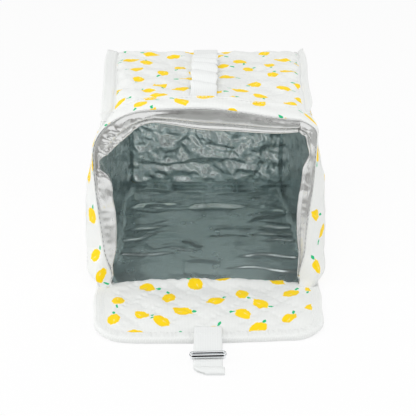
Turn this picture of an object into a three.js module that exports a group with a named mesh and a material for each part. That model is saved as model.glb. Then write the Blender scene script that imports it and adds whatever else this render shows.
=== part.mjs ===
// Insulated lunch bag, lying on its back with the mouth open towards -Y and the flap laid out flat.
// Millimetres, +Z up. The origin is the middle of the back panel's resting face.
import * as THREE from 'three';

// Bag body
const backHeight = 230; // back panel, mouth to base
const frontSetback = 30; // the front rim stands this far behind the back rim
const baseWidth = 198; // between the corner seams
const baseDepth = 160; // back to front
const mouthWidthBack = 186; // across the mouth beside the back panel
const mouthWidthFront = 204; // across the mouth beside the front panel
const mouthDepth = 172; // back to front at the mouth
const baseCorner = 14; // corner radius at the base and along the back panel
const mouthCorner = 45; // corner radius of the front panel at the mouth
const frontCrown = 4; // rise of the front panel's middle at the mouth
const gussetBulge = 11.5; // swell of the gussets
const bulgeHeight = 184; // height above the base at which the gussets swell most
const bulgeSkew = 0.8; // the gussets swell more beside the back panel than beside the front
const mouthFlare = 9; // the sides flare out by this beside the back panel, just behind the mouth
const flareReach = 20; // from the mouth to the full flare
const flareFade = 50; // from the mouth to where the flare begins to fade

// Wall, from outside in
const clothThickness = 2;
const foamThickness = 4;
const foilThickness = 0.8;
const layerGap = 0.3; // between neighbouring layers and pieces
const seamGap = 0.5; // between the edges of two panels at a corner seam

// Mouth band of cloth, turned over the outer edge of the rim, and foil facing over its inner edge
const bandWidth = 25;
const bandThickness = 1.5;
const rimThickness = 2;
const facingWidth = 22;
const facingThickness = 0.8;

// Corner seam flanges
const flangeWidth = 9;
const flangeThickness = 2.6;
const frontFlangeLiftBase = 15; // degrees above level at the base
const frontFlangeLiftMouth = -10; // degrees above level at the mouth
const backFlangeLift = -12;

// Webbing of both straps
const webbingWidth = 25;
const webbingThickness = 1.5;
const frontStrapSlack = 7; // clear height under the front strap's middle
const frontStrapTack = 14; // sewn length at each end

// Flap
const hingeReach = 3.2; // the back panel's cloth runs on past the mouth
const flapWidth = 210;
const flapLength = 94;
const flapCorner = 28;
const flapArch = 6; // rise of the flap's middle
const flapClothThickness = 1;
const waddingThickness = 2;
const bindingWidth = 10;
const bindingThickness = 0.8;

// Closing strap on the flap, and its slide
const anchorLength = 14; // sewn on the flap
const strapReach = 48; // free length
const strapDroop = 8; // degrees below level
const hemLength = 7;
const hemThickness = 3;
const slidePlace = 25; // middle of the slide, from the flap's edge
const slideLength = 9.6; // along the strap
const slideWire = 3.2;
const slideBarWire = 2;
const slideClearance = 0.4; // beside the webbing
const slideBarBend = 2;

// Facets
const cornerSteps = 3;
const faceSteps = 4;
const rimSteps = 3;
const wallStations = [0.08, 0.18, 0.3, 0.45, 0.68, 1]; // shares of the wall behind the band
const frontStrapSteps = 16;
const flapSideSteps = 4;
const flapCornerSteps = 6;
const flapAcrossSteps = 6;
const anchorSteps = 3;
const wireSides = 8;
const wireBendSteps = 3;

const { clamp, degToRad, lerp, smoothstep } = THREE.MathUtils;

const quiltedCloth = new THREE.MeshStandardMaterial({ color: 0xf2f3ee, roughness: 0.9 });
const plainCloth = new THREE.MeshStandardMaterial({ color: 0xf4f5f3, roughness: 0.85 });
const foam = new THREE.MeshStandardMaterial({ color: 0xe4e7e8, roughness: 0.95 });
const foil = new THREE.MeshStandardMaterial({ color: 0x9aa6a6, roughness: 0.35, metalness: 0.9 });
const webbing = new THREE.MeshStandardMaterial({ color: 0xf1f2f0, roughness: 0.8 });
const chrome = new THREE.MeshStandardMaterial({ color: 0xd9dbde, roughness: 0.12, metalness: 1 });

const bag = new THREE.Group();

function addPiece(parent, name, geometry, material) {
  const mesh = new THREE.Mesh(geometry, material);
  mesh.name = name;
  parent.add(mesh);
  return mesh;
}

// Closed solids

// A solid from its corner points and triangles, turned so that its faces point out.
function solidGeometry(points, triangles) {
  let volume = 0;
  for (let i = 0; i < triangles.length; i += 3) {
    const [a, b, c] = [points[triangles[i]], points[triangles[i + 1]], points[triangles[i + 2]]];
    volume += a.dot(b.clone().cross(c));
  }
  const index = volume < 0 ? triangles.reverse() : triangles;
  const geometry = new THREE.BufferGeometry().setFromPoints(points);
  geometry.setIndex(index);
  geometry.computeVertexNormals();
  return geometry;
}

// A sheet closed between its two faces: place(u, v, face) gives a point of face 0 or face 1.
function sheetGeometry(us, vs, place) {
  const points = [];
  for (const face of [0, 1]) {
    for (const v of vs) {
      for (const u of us) points.push(place(u, v, face));
    }
  }
  const at = (i, j, face) => (face * vs.length + j) * us.length + i;
  const triangles = [];
  const quad = (a, b, c, d) => triangles.push(a, b, c, a, c, d);
  const lastU = us.length - 1;
  const lastV = vs.length - 1;
  for (let j = 0; j < lastV; j++) {
    for (let i = 0; i < lastU; i++) {
      quad(at(i, j, 0), at(i + 1, j, 0), at(i + 1, j + 1, 0), at(i, j + 1, 0));
      quad(at(i, j, 1), at(i, j + 1, 1), at(i + 1, j + 1, 1), at(i + 1, j, 1));
    }
    quad(at(0, j, 0), at(0, j + 1, 0), at(0, j + 1, 1), at(0, j, 1));
    quad(at(lastU, j, 0), at(lastU, j, 1), at(lastU, j + 1, 1), at(lastU, j + 1, 0));
  }
  for (let i = 0; i < lastU; i++) {
    quad(at(i, 0, 0), at(i, 0, 1), at(i + 1, 0, 1), at(i + 1, 0, 0));
    quad(at(i, lastV, 0), at(i + 1, lastV, 0), at(i + 1, lastV, 1), at(i, lastV, 1));
  }
  return solidGeometry(points, triangles);
}

// A section swept through rings of points: open runs end in caps cut from the section's profile.
function sweepGeometry(rings, profile) {
  const count = rings[0].length;
  const triangles = [];
  const spans = profile ? rings.length - 1 : rings.length;
  for (let k = 0; k < spans; k++) {
    const here = k * count;
    const next = ((k + 1) % rings.length) * count;
    for (let i = 0; i < count; i++) {
      const j = (i + 1) % count;
      triangles.push(here + i, here + j, next + j, here + i, next + j, next + i);
    }
  }
  if (profile) {
    const outline = profile.map(([x, y]) => new THREE.Vector2(x, y));
    const turn = Math.sign(THREE.ShapeUtils.area(outline));
    const end = (rings.length - 1) * count;
    for (const face of THREE.ShapeUtils.triangulateShape(outline, [])) {
      const corners = face.map((i) => outline[i]);
      const [a, b, c] = Math.sign(THREE.ShapeUtils.area(corners)) === turn ? face : face.toReversed();
      triangles.push(c, b, a, end + a, end + b, end + c);
    }
  }
  return solidGeometry(rings.flat(), triangles);
}

const steps = (from, to, count) =>
  Array.from({ length: count + 1 }, (_, i) => lerp(from, to, i / count));

// The bag's shell

// The wall's layers, as depths from its outer face.
const layers = [];
let layerFrom = 0;
for (const [name, thickness, material] of [
  ['cloth', clothThickness, quiltedCloth],
  ['foam', foamThickness, foam],
  ['foil', foilThickness, foil],
]) {
  layers.push({ name, material, outer: layerFrom, inner: layerFrom + thickness });
  layerFrom += thickness + layerGap;
}
const wallThickness = layers.at(-1).inner;
const wallEnd = (layer) => backHeight - layer.inner - layerGap; // short of the base's same layer
const leanEnd = wallEnd(layers.at(-1)); // behind this the wall stands square to the base

const bulgePower = Math.log(0.5) / Math.log(bulgeHeight / backHeight);

// Sizes of the cross-section at a distance from the mouth.
function sectionAt(fromMouth) {
  const share = clamp(1 - fromMouth / backHeight, 0, 1);
  const opening = lerp(0.25, 1, smoothstep(fromMouth, 0, flareReach));
  const flare = mouthFlare * opening * (1 - smoothstep(fromMouth, flareFade, backHeight));
  return {
    depth: lerp(baseDepth, mouthDepth, share),
    backHalf: lerp(baseWidth, mouthWidthBack, share) / 2 + flare,
    frontHalf: lerp(baseWidth, mouthWidthFront, share) / 2,
    frontCorner: lerp(baseCorner, mouthCorner, share * share),
    crown: frontCrown * share,
    bulge: gussetBulge * Math.sin(Math.PI * share ** bulgePower),
  };
}

const cornerFrom = 0.5; // a panel's u runs over its flat part to this, then to 1 in mid corner

// A point of the wall: u runs across a side from -1 to 1, inset goes inwards from the outer face.
// The gussets' u runs from the back panel up to the front panel.
function shellPoint(side, u, inset, fromMouth) {
  const size = sectionAt(fromMouth);
  const middleHalf = (size.backHalf + size.frontHalf) / 2;
  const along = clamp(u / cornerFrom, -1, 1);
  const bend = (Math.max(0, Math.abs(u) - cornerFrom) / (1 - cornerFrom)) * (Math.PI / 4);
  const swell = (1 - u * u) ** 2; // fades out before the seams
  const nearFront = side === 'front' || (side !== 'back' && u > 0);
  const radius = nearFront ? size.frontCorner : baseCorner;
  const round = Math.sign(u) * (radius - inset) * Math.sin(bend);
  const depthIn = radius - (radius - inset) * Math.cos(bend);
  let x;
  let z;
  if (side === 'front' || side === 'back') {
    x = along * (middleHalf - radius) + round;
    z = side === 'back' ? depthIn : size.depth - depthIn + size.crown * swell;
  } else {
    const bulge = size.bulge * swell * (1 - bulgeSkew * u);
    x = (side === 'left' ? -1 : 1) * (middleHalf - depthIn + bulge);
    z = lerp(baseCorner, size.depth - size.frontCorner, (along + 1) / 2) + round;
  }
  const taper = lerp(size.backHalf, size.frontHalf, z / size.depth) / middleHalf;
  const lean = frontSetback * Math.max(0, 1 - fromMouth / leanEnd) * (z / mouthDepth);
  return new THREE.Vector3(x * taper, fromMouth - backHeight / 2 + lean, z);
}

const seamTrim = ((1 - cornerFrom) * seamGap) / 2 / ((baseCorner * Math.PI) / 4);
const panelSteps = [
  ...steps(-1 + seamTrim, -cornerFrom, cornerSteps),
  ...steps(-cornerFrom, cornerFrom, faceSteps).slice(1, -1),
  ...steps(cornerFrom, 1 - seamTrim, cornerSteps),
];

// Stations of the wall behind the rim: those that the facing and the band end on are among them.
const rimEnds = [...steps(0, facingWidth, rimSteps), bandWidth];
const rimStations = [...new Set(rimEnds)].sort((a, b) => a - b);
const facingStations = rimStations.filter((w) => w <= facingWidth);
const bandStations = rimStations.filter((w) => w <= bandWidth);

// Steps across each side, in the order in which a walk round the mouth meets them.
const sideSteps = {
  left: panelSteps,
  front: panelSteps,
  right: panelSteps.toReversed(),
  back: panelSteps.toReversed(),
};

function panelNames(side) {
  const gusset = side === 'left' || side === 'right';
  return {
    cloth: gusset ? `${side}_gusset` : `${side}_panel`,
    foam: `${side}_foam`,
    foil: `${side}_lining`,
  };
}

for (const side of ['front', 'back', 'left', 'right']) {
  for (const layer of layers) {
    const behind = wallStations.map((share) => lerp(rimStations.at(-1), wallEnd(layer), share));
    const stations = [...rimStations, ...behind];
    if (side === 'back' && layer.name === 'cloth') stations[0] = -hingeReach;
    const place = (u, w, face) => shellPoint(side, u, face ? layer.inner : layer.outer, w);
    const geometry = sheetGeometry(sideSteps[side], stations, place);
    addPiece(bag, panelNames(side)[layer.name], geometry, layer.material);
  }
}

// The base: each layer is the outline of the section at the base, set in behind the walls' layer.
const walk = (sides) => sides.flatMap((side) => sideSteps[side].map((u) => [side, u]));
for (const layer of layers) {
  const outline = walk(['left', 'front', 'right', 'back']).map(([side, u]) => {
    const point = shellPoint(side, u, layer.outer, backHeight);
    return new THREE.Vector2(point.x, point.z);
  });
  const depth = layer.inner - layer.outer;
  const geometry = new THREE.ExtrudeGeometry(new THREE.Shape(outline), { depth, bevelEnabled: false });
  geometry.rotateX(Math.PI / 2);
  geometry.translate(0, backHeight / 2 - layer.outer, 0);
  addPiece(bag, panelNames('base')[layer.name], geometry, layer.material);
}

// Both strips of the rim run up the left gusset, over the front panel and down the right gusset.
function rimGeometry(profile) {
  const rings = walk(['left', 'front', 'right']).map(([side, u]) =>
    profile.map(([inset, w]) => shellPoint(side, u, inset, w)),
  );
  return sweepGeometry(rings, profile);
}

const rimFront = -layerGap - rimThickness;
const bandOuter = -layerGap - bandThickness;
const bandProfile = [
  ...bandStations.toReversed().map((w) => [bandOuter, w]),
  [bandOuter, rimFront],
  [clothThickness, rimFront],
  [clothThickness, -layerGap],
  [-layerGap, -layerGap],
  ...bandStations.slice(1).map((w) => [-layerGap, w]),
];
addPiece(bag, 'mouth_band', rimGeometry(bandProfile), quiltedCloth);

const facingOuter = wallThickness + layerGap;
const facingInner = facingOuter + facingThickness;
const facingProfile = [
  ...facingStations.toReversed().map((w) => [facingInner, w]),
  [facingInner, rimFront],
  [clothThickness + layerGap, rimFront],
  [clothThickness + layerGap, -layerGap],
  [facingOuter, -layerGap],
  ...facingStations.slice(1).map((w) => [facingOuter, w]),
];
addPiece(bag, 'mouth_facing', rimGeometry(facingProfile), foil);

// A flange stands on its corner seam and runs from the band's edge to the base.
function flangeGeometry(side, hand) {
  const outwards = side === 'front' ? 1 : -1;
  const stations = [0, ...wallStations].map((share) => lerp(bandWidth + layerGap, backHeight, share));
  const along = new THREE.Vector3(hand, 0, -outwards).normalize().multiplyScalar(flangeThickness / 2);
  const rings = stations.map((w) => {
    const seat = shellPoint(side, hand, -layerGap, w);
    const lift = side === 'front'
      ? lerp(frontFlangeLiftMouth, frontFlangeLiftBase, w / backHeight)
      : backFlangeLift;
    const reach = new THREE.Vector3(hand * Math.cos(degToRad(lift)), 0, Math.sin(degToRad(lift)));
    reach.multiplyScalar(flangeWidth);
    const upper = seat.clone().sub(along);
    const lower = seat.clone().add(along);
    return [upper, lower, lower.clone().add(reach), upper.clone().add(reach)];
  });
  const square = [[0, 0], [1, 0], [1, 1], [0, 1]];
  return sweepGeometry(rings, square);
}

for (const side of ['front', 'back']) {
  addPiece(bag, `${side}_left_flange`, flangeGeometry(side, -1), plainCloth);
  addPiece(bag, `${side}_right_flange`, flangeGeometry(side, 1), plainCloth);
}

// The front strap lies on the front panel at its sewn ends and stands slack between them.
const strapStart = bandWidth + layerGap;
function slackAt(w) {
  const share = (w - strapStart - frontStrapTack) / (backHeight - strapStart - 2 * frontStrapTack);
  return frontStrapSlack * Math.sin(Math.PI * clamp(share, 0, 1)) ** 2;
}
const frontStrapStations = steps(strapStart, backHeight, frontStrapSteps);
const frontStrap = sheetGeometry([-1, 1], frontStrapStations, (u, w, face) => {
  const rise = layerGap + slackAt(w) + (face ? 0 : webbingThickness);
  const point = shellPoint('front', 0, -rise, w);
  point.x = (u * webbingWidth) / 2;
  return point;
});
addPiece(bag, 'front_strap', frontStrap, webbing);

// The flap

const flapStart = -backHeight / 2 - hingeReach - layerGap;
function flapPoint(x, fromHinge, height) {
  const rise = flapArch * Math.sin(Math.PI * clamp(fromHinge / flapLength, 0, 1));
  return new THREE.Vector3(x, flapStart - fromHinge, height + rise);
}

const flapSide = steps(0, flapLength - flapCorner, flapSideSteps);
const cornerAngles = steps(0, Math.PI / 2, flapCornerSteps).slice(1);
const flapInset = bindingThickness + layerGap;

// Stations of a flap layer from the hinge to its front edge, each with its half width.
const flapRows = [
  ...flapSide.map((s) => ({ s, half: flapWidth / 2 - flapInset })),
  ...cornerAngles.map((angle) => ({
    s: flapLength - flapCorner + (flapCorner - flapInset) * Math.sin(angle),
    half: flapWidth / 2 - flapCorner + (flapCorner - flapInset) * Math.cos(angle),
  })),
];
let flapHeight = bindingThickness + layerGap;
for (const [name, thickness, material] of [
  ['flap_outer_cloth', flapClothThickness, quiltedCloth],
  ['flap_wadding', waddingThickness, foam],
  ['flap_inner_cloth', flapClothThickness, quiltedCloth],
]) {
  const low = flapHeight;
  const place = (u, row, face) => flapPoint(u * row.half, row.s, face ? low + thickness : low);
  addPiece(bag, name, sheetGeometry(steps(-1, 1, flapAcrossSteps), flapRows, place), material);
  flapHeight += thickness + layerGap;
}
const flapTop = flapHeight + bindingThickness;

// The binding folds round the flap's three free edges: a channel swept along the outline.
const bindingProfile = [
  [0, 0],
  [0, flapTop],
  [bindingWidth, flapTop],
  [bindingWidth, flapHeight],
  [bindingThickness, flapHeight],
  [bindingThickness, bindingThickness],
  [bindingWidth, bindingThickness],
  [bindingWidth, 0],
];
const bindingRight = [
  ...flapSide.map((s) => ({ s, angle: 0 })),
  ...cornerAngles.map((angle) => ({ s: flapLength - flapCorner, angle })),
];
function bindingRing({ s, angle }, hand) {
  return bindingProfile.map(([inset, height]) => {
    const radius = flapCorner - inset;
    const x = hand * (flapWidth / 2 - flapCorner + radius * Math.cos(angle));
    return flapPoint(x, s + radius * Math.sin(angle), height);
  });
}
const bindingRings = [
  ...bindingRight.map((place) => bindingRing(place, -1)),
  ...bindingRight.toReversed().map((place) => bindingRing(place, 1)),
];
addPiece(bag, 'flap_binding', sweepGeometry(bindingRings, bindingProfile), plainCloth);

// The strap's sewn end lies on the binding's upper side.
const anchorLow = flapTop + layerGap;
const anchorStations = steps(flapLength - anchorLength, flapLength, anchorSteps);
const anchor = sheetGeometry([-1, 1], anchorStations, (u, s, face) =>
  flapPoint((u * webbingWidth) / 2, s, anchorLow + (face ? webbingThickness : 0)),
);
addPiece(bag, 'strap_anchor', anchor, webbing);

// The free strap, in a frame whose origin is the fold line on its upper face.
const strap = new THREE.Group();
strap.position.set(0, flapStart - flapLength, anchorLow + webbingThickness);
strap.rotation.x = degToRad(strapDroop);
bag.add(strap);

const strapOutline = [
  [layerGap, 0],
  [layerGap, -webbingThickness],
  [strapReach, -webbingThickness],
  [strapReach, hemThickness - webbingThickness],
  [strapReach - hemLength, hemThickness - webbingThickness],
  [strapReach - hemLength, 0],
].map(([along, height]) => new THREE.Vector2(along, height));
const strapGeometry = new THREE.ExtrudeGeometry(new THREE.Shape(strapOutline), {
  depth: webbingWidth,
  bevelEnabled: false,
});
const acrossStrap = new THREE.Matrix4().makeBasis(
  new THREE.Vector3(0, -1, 0),
  new THREE.Vector3(0, 0, 1),
  new THREE.Vector3(-1, 0, 0),
);
strapGeometry.applyMatrix4(acrossStrap);
strapGeometry.translate(webbingWidth / 2, 0, 0);
addPiece(strap, 'closing_strap', strapGeometry, webbing);

// The slide: its frame lies over the webbing and its middle bar passes under it.
const slide = new THREE.Group();
slide.position.y = -slidePlace;
strap.add(slide);

const wireRadius = slideWire / 2;
const sideWire = webbingWidth / 2 + slideClearance + wireRadius;
const frameHeight = layerGap + wireRadius;

// Rings of round wire along a flat route of points with headings, in the plane of two directions.
function wireRings(route, radius, across, along, normal) {
  return route.map(({ x, y, heading }) =>
    Array.from({ length: wireSides }, (_, i) => {
      const turn = (2 * Math.PI * i) / wireSides;
      const side = radius * Math.cos(turn);
      const point = across.clone().multiplyScalar(x - side * Math.sin(heading));
      point.addScaledVector(along, y + side * Math.cos(heading));
      return point.addScaledVector(normal, radius * Math.sin(turn));
    }),
  );
}

// A bend of a wire: headings turn to the left by a number of quarter turns.
function wireBend(x, y, radius, from, quarters) {
  const to = from + (quarters * Math.PI) / 2;
  return steps(from, to, quarters * wireBendSteps).map((heading) => ({
    x: x + radius * Math.sin(heading),
    y: y - radius * Math.cos(heading),
    heading,
  }));
}

const axisX = new THREE.Vector3(1, 0, 0);
const axisY = new THREE.Vector3(0, 1, 0);
const axisZ = new THREE.Vector3(0, 0, 1);

const frameBend = slideLength / 2 - wireRadius; // the frame's ends are half rounds
const frameX = sideWire - frameBend;
const frameRoute = [
  ...wireBend(frameX, 0, frameBend, 0, 2),
  ...wireBend(-frameX, 0, frameBend, Math.PI, 2),
];
const frameRings = wireRings(frameRoute, wireRadius, axisX, axisY, axisZ);
const frame = addPiece(slide, 'slide_frame', sweepGeometry(frameRings), chrome);
frame.position.z = frameHeight;

const barRadius = slideBarWire / 2;
const barLow = -webbingThickness - layerGap - barRadius;
const barTop = frameHeight - wireRadius - layerGap;
const barRoute = [
  { x: -sideWire, y: barTop, heading: -Math.PI / 2 },
  ...wireBend(-sideWire + slideBarBend, barLow + slideBarBend, slideBarBend, -Math.PI / 2, 1),
  ...wireBend(sideWire - slideBarBend, barLow + slideBarBend, slideBarBend, 0, 1),
  { x: sideWire, y: barTop, heading: Math.PI / 2 },
];
const wireProfile = Array.from({ length: wireSides }, (_, i) => {
  const turn = (2 * Math.PI * i) / wireSides;
  return [Math.cos(turn), Math.sin(turn)];
});
const barRings = wireRings(barRoute, barRadius, axisX, axisZ, axisY);
addPiece(slide, 'slide_bar', sweepGeometry(barRings, wireProfile), chrome);

export default bag;
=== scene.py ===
import math

import bmesh
import bpy
import numpy as np
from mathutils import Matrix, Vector


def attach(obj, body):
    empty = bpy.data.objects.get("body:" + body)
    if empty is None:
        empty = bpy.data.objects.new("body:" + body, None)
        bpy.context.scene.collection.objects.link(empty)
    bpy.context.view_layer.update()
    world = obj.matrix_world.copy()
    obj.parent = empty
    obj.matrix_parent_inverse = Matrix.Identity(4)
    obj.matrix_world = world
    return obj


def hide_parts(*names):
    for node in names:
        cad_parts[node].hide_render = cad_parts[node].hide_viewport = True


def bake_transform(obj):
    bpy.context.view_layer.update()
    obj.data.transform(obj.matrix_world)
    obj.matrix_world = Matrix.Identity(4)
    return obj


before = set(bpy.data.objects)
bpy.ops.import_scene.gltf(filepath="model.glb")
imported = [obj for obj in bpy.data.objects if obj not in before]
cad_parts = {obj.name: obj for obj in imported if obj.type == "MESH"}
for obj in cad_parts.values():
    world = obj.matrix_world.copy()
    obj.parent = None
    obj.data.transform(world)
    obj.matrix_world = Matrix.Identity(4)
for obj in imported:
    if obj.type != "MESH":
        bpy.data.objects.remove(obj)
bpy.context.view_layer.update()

scene = bpy.context.scene
millimetre = 0.001
print("frame loaded:", len(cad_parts), "nodes")

# Soft insulated lunch bag, lying on its back with the mouth open and the flap laid out.
# Shapes are worked out in millimetres in the CAD frame and go to metres when a mesh is made.

# Mesh tools


def wave(x):  # triangle wave from -1 to 1, which folds as sharply as film does
    return 4 * np.abs(x - np.floor(x + 0.5)) - 1


def smooth(x, low, high):  # 0 below low, 1 above high, eased between
    t = np.clip((x - low) / (high - low), 0, 1)
    return t * t * (3 - 2 * t)


def fade(x, low, high):  # 1 below low, 0 above high
    return 1 - smooth(x, low, high)


def bell(x, middle, spread):  # 1 in the middle, falling away to both sides
    return np.exp(-(((x - middle) / spread) ** 2))


def unit(vectors):
    return vectors / np.linalg.norm(vectors, axis=-1, keepdims=True)


def runLength(path):  # length along a row of points, from its start
    return np.concatenate([[0], np.cumsum(np.linalg.norm(np.diff(path, axis=0), axis=1))])


def eased(field, times):  # rounds off the edges of a field on a grid
    for _ in range(times):
        for axis in (0, 1):
            wide = np.pad(field, [(1, 1) if k == axis else (0, 0) for k in (0, 1)], mode="edge")
            size = field.shape[axis]
            field = sum(share * np.take(wide, range(k, k + size), axis)
                        for k, share in enumerate((0.25, 0.5, 0.25)))
    return field


def curveThrough(places, x):  # smooth run through a few (x, y) pairs
    xs, ys = np.array(places, float).T
    slope = np.gradient(ys, xs)
    i = np.clip(np.searchsorted(xs, x) - 1, 0, len(xs) - 2)
    span = xs[i + 1] - xs[i]
    t = np.clip((x - xs[i]) / span, 0, 1)
    return ((2 * t**3 - 3 * t**2 + 1) * ys[i] + (t**3 - 2 * t**2 + t) * span * slope[i]
            + (3 * t**2 - 2 * t**3) * ys[i + 1] + (t**3 - t**2) * span * slope[i + 1])


def quads(rows, cols, first=0, closed=False):  # faces of a grid of points, row by row
    across = np.arange(cols if closed else cols - 1)
    here = first + np.arange(rows - 1)[:, None] * cols + across
    step = first + np.arange(rows - 1)[:, None] * cols + (across + 1) % cols
    return np.stack([here, step, step + cols, here + cols], -1).reshape(-1, 4).tolist()


def normals(grid, closed=False):
    if closed:
        across = np.roll(grid, -1, 1) - np.roll(grid, 1, 1)
    else:
        across = np.gradient(grid, axis=1)
    out = np.cross(across, np.gradient(grid, axis=0))
    return out / np.maximum(np.linalg.norm(out, axis=-1, keepdims=True), 1e-9)


def makePiece(name, points, faces, material, cloth=None):
    mesh = bpy.data.meshes.new(name)
    mesh.from_pydata((np.asarray(points, float) * millimetre).tolist(), [], faces)
    shape = bmesh.new()
    shape.from_mesh(mesh)
    bmesh.ops.recalc_face_normals(shape, faces=shape.faces)
    shape.to_mesh(mesh)
    shape.free()
    if cloth is not None:  # flat cloth coordinates, for the print and the weave
        corner = np.zeros(len(mesh.loops), np.int32)
        mesh.loops.foreach_get("vertex_index", corner)
        flat = mesh.uv_layers.new(name="cloth")
        flat.data.foreach_set("uv", (np.asarray(cloth, float)[corner] * millimetre).ravel())
    mesh.shade_smooth()
    mesh.materials.append(material)
    piece = bpy.data.objects.new(name, mesh)
    scene.collection.objects.link(piece)
    return piece


def slabPiece(name, outer, inner, material, cloth, closed=False):  # closed body between two grids
    rows, cols = outer.shape[:2]
    count = rows * cols
    faces = quads(rows, cols, 0, closed) + quads(rows, cols, count, closed)
    edge = np.arange(count).reshape(rows, cols)
    rims = [edge[0], edge[-1]]
    if not closed:
        rims += [edge[:, 0], edge[:, -1]]
    for rim in rims:
        run = list(zip(rim, np.roll(rim, -1))) if closed else list(zip(rim[:-1], rim[1:]))
        faces += [(int(a), int(b), int(b + count), int(a + count)) for a, b in run]
    points = np.concatenate([outer.reshape(-1, 3), inner.reshape(-1, 3)])
    flat = cloth.reshape(-1, 2)
    return makePiece(name, points, faces, material, np.concatenate([flat, flat]))


def sheetPiece(name, grid, thickness, material, cloth, closed=False):
    return slabPiece(name, grid, grid - normals(grid, closed) * thickness, material, cloth, closed)


def sweepPiece(name, rings, material, cloth=None, closed=False):  # rings (n, m, 3), capped unless closed
    count, size = rings.shape[:2]
    points = rings.reshape(-1, 3)
    if closed:
        whole = np.concatenate([rings, rings[:1]])
        faces = [[i % (count * size) for i in face] for face in quads(len(whole), size, 0, True)]
    else:
        last = (count - 1) * size
        faces = quads(count, size, 0, True) + [list(range(size)), list(range(last, last + size))]
    return makePiece(name, points, faces, material, None if cloth is None else cloth.reshape(-1, 2))


def tubeRings(path, radius, sides=12, closed=False):  # round wire or thread along points
    path = np.asarray(path, float)
    if closed:
        along = np.roll(path, -1, 0) - np.roll(path, 1, 0)
    else:
        along = np.gradient(path, axis=0)
    along = unit(along)
    side = np.cross(along[0], (0, 0, 1) if abs(along[0][2]) < 0.9 else (0, 1, 0))
    rings = []
    turn = np.linspace(0, 2 * math.pi, sides, endpoint=False)
    for place, heading, r in zip(path, along, np.broadcast_to(radius, len(path))):
        side = unit(side - heading * np.dot(side, heading))
        up = np.cross(heading, side)
        rings.append(place + r * (np.cos(turn)[:, None] * side + np.sin(turn)[:, None] * up))
    return np.array(rings)


def stitchRow(name, route, lift, material, long, gap, radius):  # thread lying on a seam
    route, lift = np.asarray(route, float), np.asarray(lift, float)
    far = runLength(route)
    points, faces = [], []
    share = np.linspace(0, 1, 7)
    for start in np.arange(gap / 2, far[-1] - long, long + gap):
        at = start + share * long
        path = np.stack([np.interp(at, far, route[:, k]) for k in range(3)], 1)
        out = np.stack([np.interp(at, far, lift[:, k]) for k in range(3)], 1)
        path += out * (radius * (1.2 * np.sin(math.pi * share) - 0.6))[:, None]
        rings = tubeRings(path, radius * (0.35 + 0.65 * np.sin(math.pi * share) ** 0.5), 6)
        first = len(points) * rings.shape[0] * rings.shape[1]
        points.append(rings.reshape(-1, 3))
        last = first + (len(rings) - 1) * 6
        faces += quads(len(rings), 6, first, True)
        faces += [list(range(first, first + 6)), list(range(last, last + 6))]
    return makePiece(name, np.concatenate(points), faces, material)


# Materials


def toLinear(hexColour):  # sRGB hex to linear colour
    parts = [int(hexColour[i:i + 2], 16) / 255 for i in (1, 3, 5)]
    return [c / 12.92 if c <= 0.04045 else ((c + 0.055) / 1.055) ** 2.4 for c in parts] + [1.0]


def addNode(tree, kind, wires=None, **settings):
    node = tree.nodes.new("ShaderNode" + kind)
    for name, value in settings.items():
        setattr(node, name, value)
    for socket, value in (wires or {}).items():
        if isinstance(value, bpy.types.Node):
            value = value.outputs[0]
        if isinstance(value, bpy.types.NodeSocket):
            tree.links.new(value, node.inputs[socket])
        else:
            node.inputs[socket].default_value = value
    return node


def startMaterial(name, **sockets):
    material = bpy.data.materials.new(name)
    material.use_nodes = True
    tree = material.node_tree
    shader = tree.nodes["Principled BSDF"]
    for socket, value in sockets.items():
        shader.inputs[socket.replace("_", " ")].default_value = value
    flat = addNode(tree, "UVMap", uv_map="cloth")
    cloth = addNode(tree, "Mapping", {"Vector": flat, "Scale": (1000, 1000, 1000)})  # in millimetres
    return material, tree, shader, cloth


def bandScale(period):  # wave texture scale for a period in millimetres
    return 2 * math.pi / 20 / period


# Woven cotton: two sets of threads over and under each other, which scatter light softly.
# Threads are 0.4 mm apart; drawn at 1.3 mm so that the weave shows in the render.
def addWeave(tree, shader, cloth, thread, depth, fluff=0.35):
    warp, weft = [
        addNode(tree, "TexWave", {"Vector": cloth, "Scale": bandScale(thread), "Distortion": 0.6,
                                  "Detail": 1.0, "Detail Scale": 1.0}, bands_direction=way)
        for way in ("X", "Y")
    ]
    weave = addNode(tree, "Math", {0: warp.outputs["Fac"], 1: weft.outputs["Fac"]}, operation="MULTIPLY")
    lint = addNode(tree, "TexNoise", {"Vector": cloth, "Scale": 0.5, "Detail": 5.0})
    both = addNode(tree, "Math", {0: lint.outputs["Fac"], 1: fluff, 2: weave}, operation="MULTIPLY_ADD")
    bump = addNode(tree, "Bump", {"Height": both, "Strength": 0.55, "Distance": depth * millimetre})
    tree.links.new(bump.outputs["Normal"], shader.inputs["Normal"])
    return weave


lemonPrint = dict(
    repeat=32, scatter=0.5, turn=38,  # lattice of the scattered fruit, mm and degrees
    halfLong=7.9, halfWide=6.3, tipLong=9.0, tipWide=2.6,  # fruit and its pointed ends
    leafAway=(-10.0, 3.6, 0), leafTurn=30, leafLong=2.7, leafWide=1.3,
    # the ground, and the ground's painted shade that the weave's hollows take
    ground="#F4F5F3", groundHollowShade="#E8EAE8",
    fruit="#FFDA18", fruitDeep="#FFD00C", bare="#FFF1B4", leaf="#1FBE7E",
)


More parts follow.
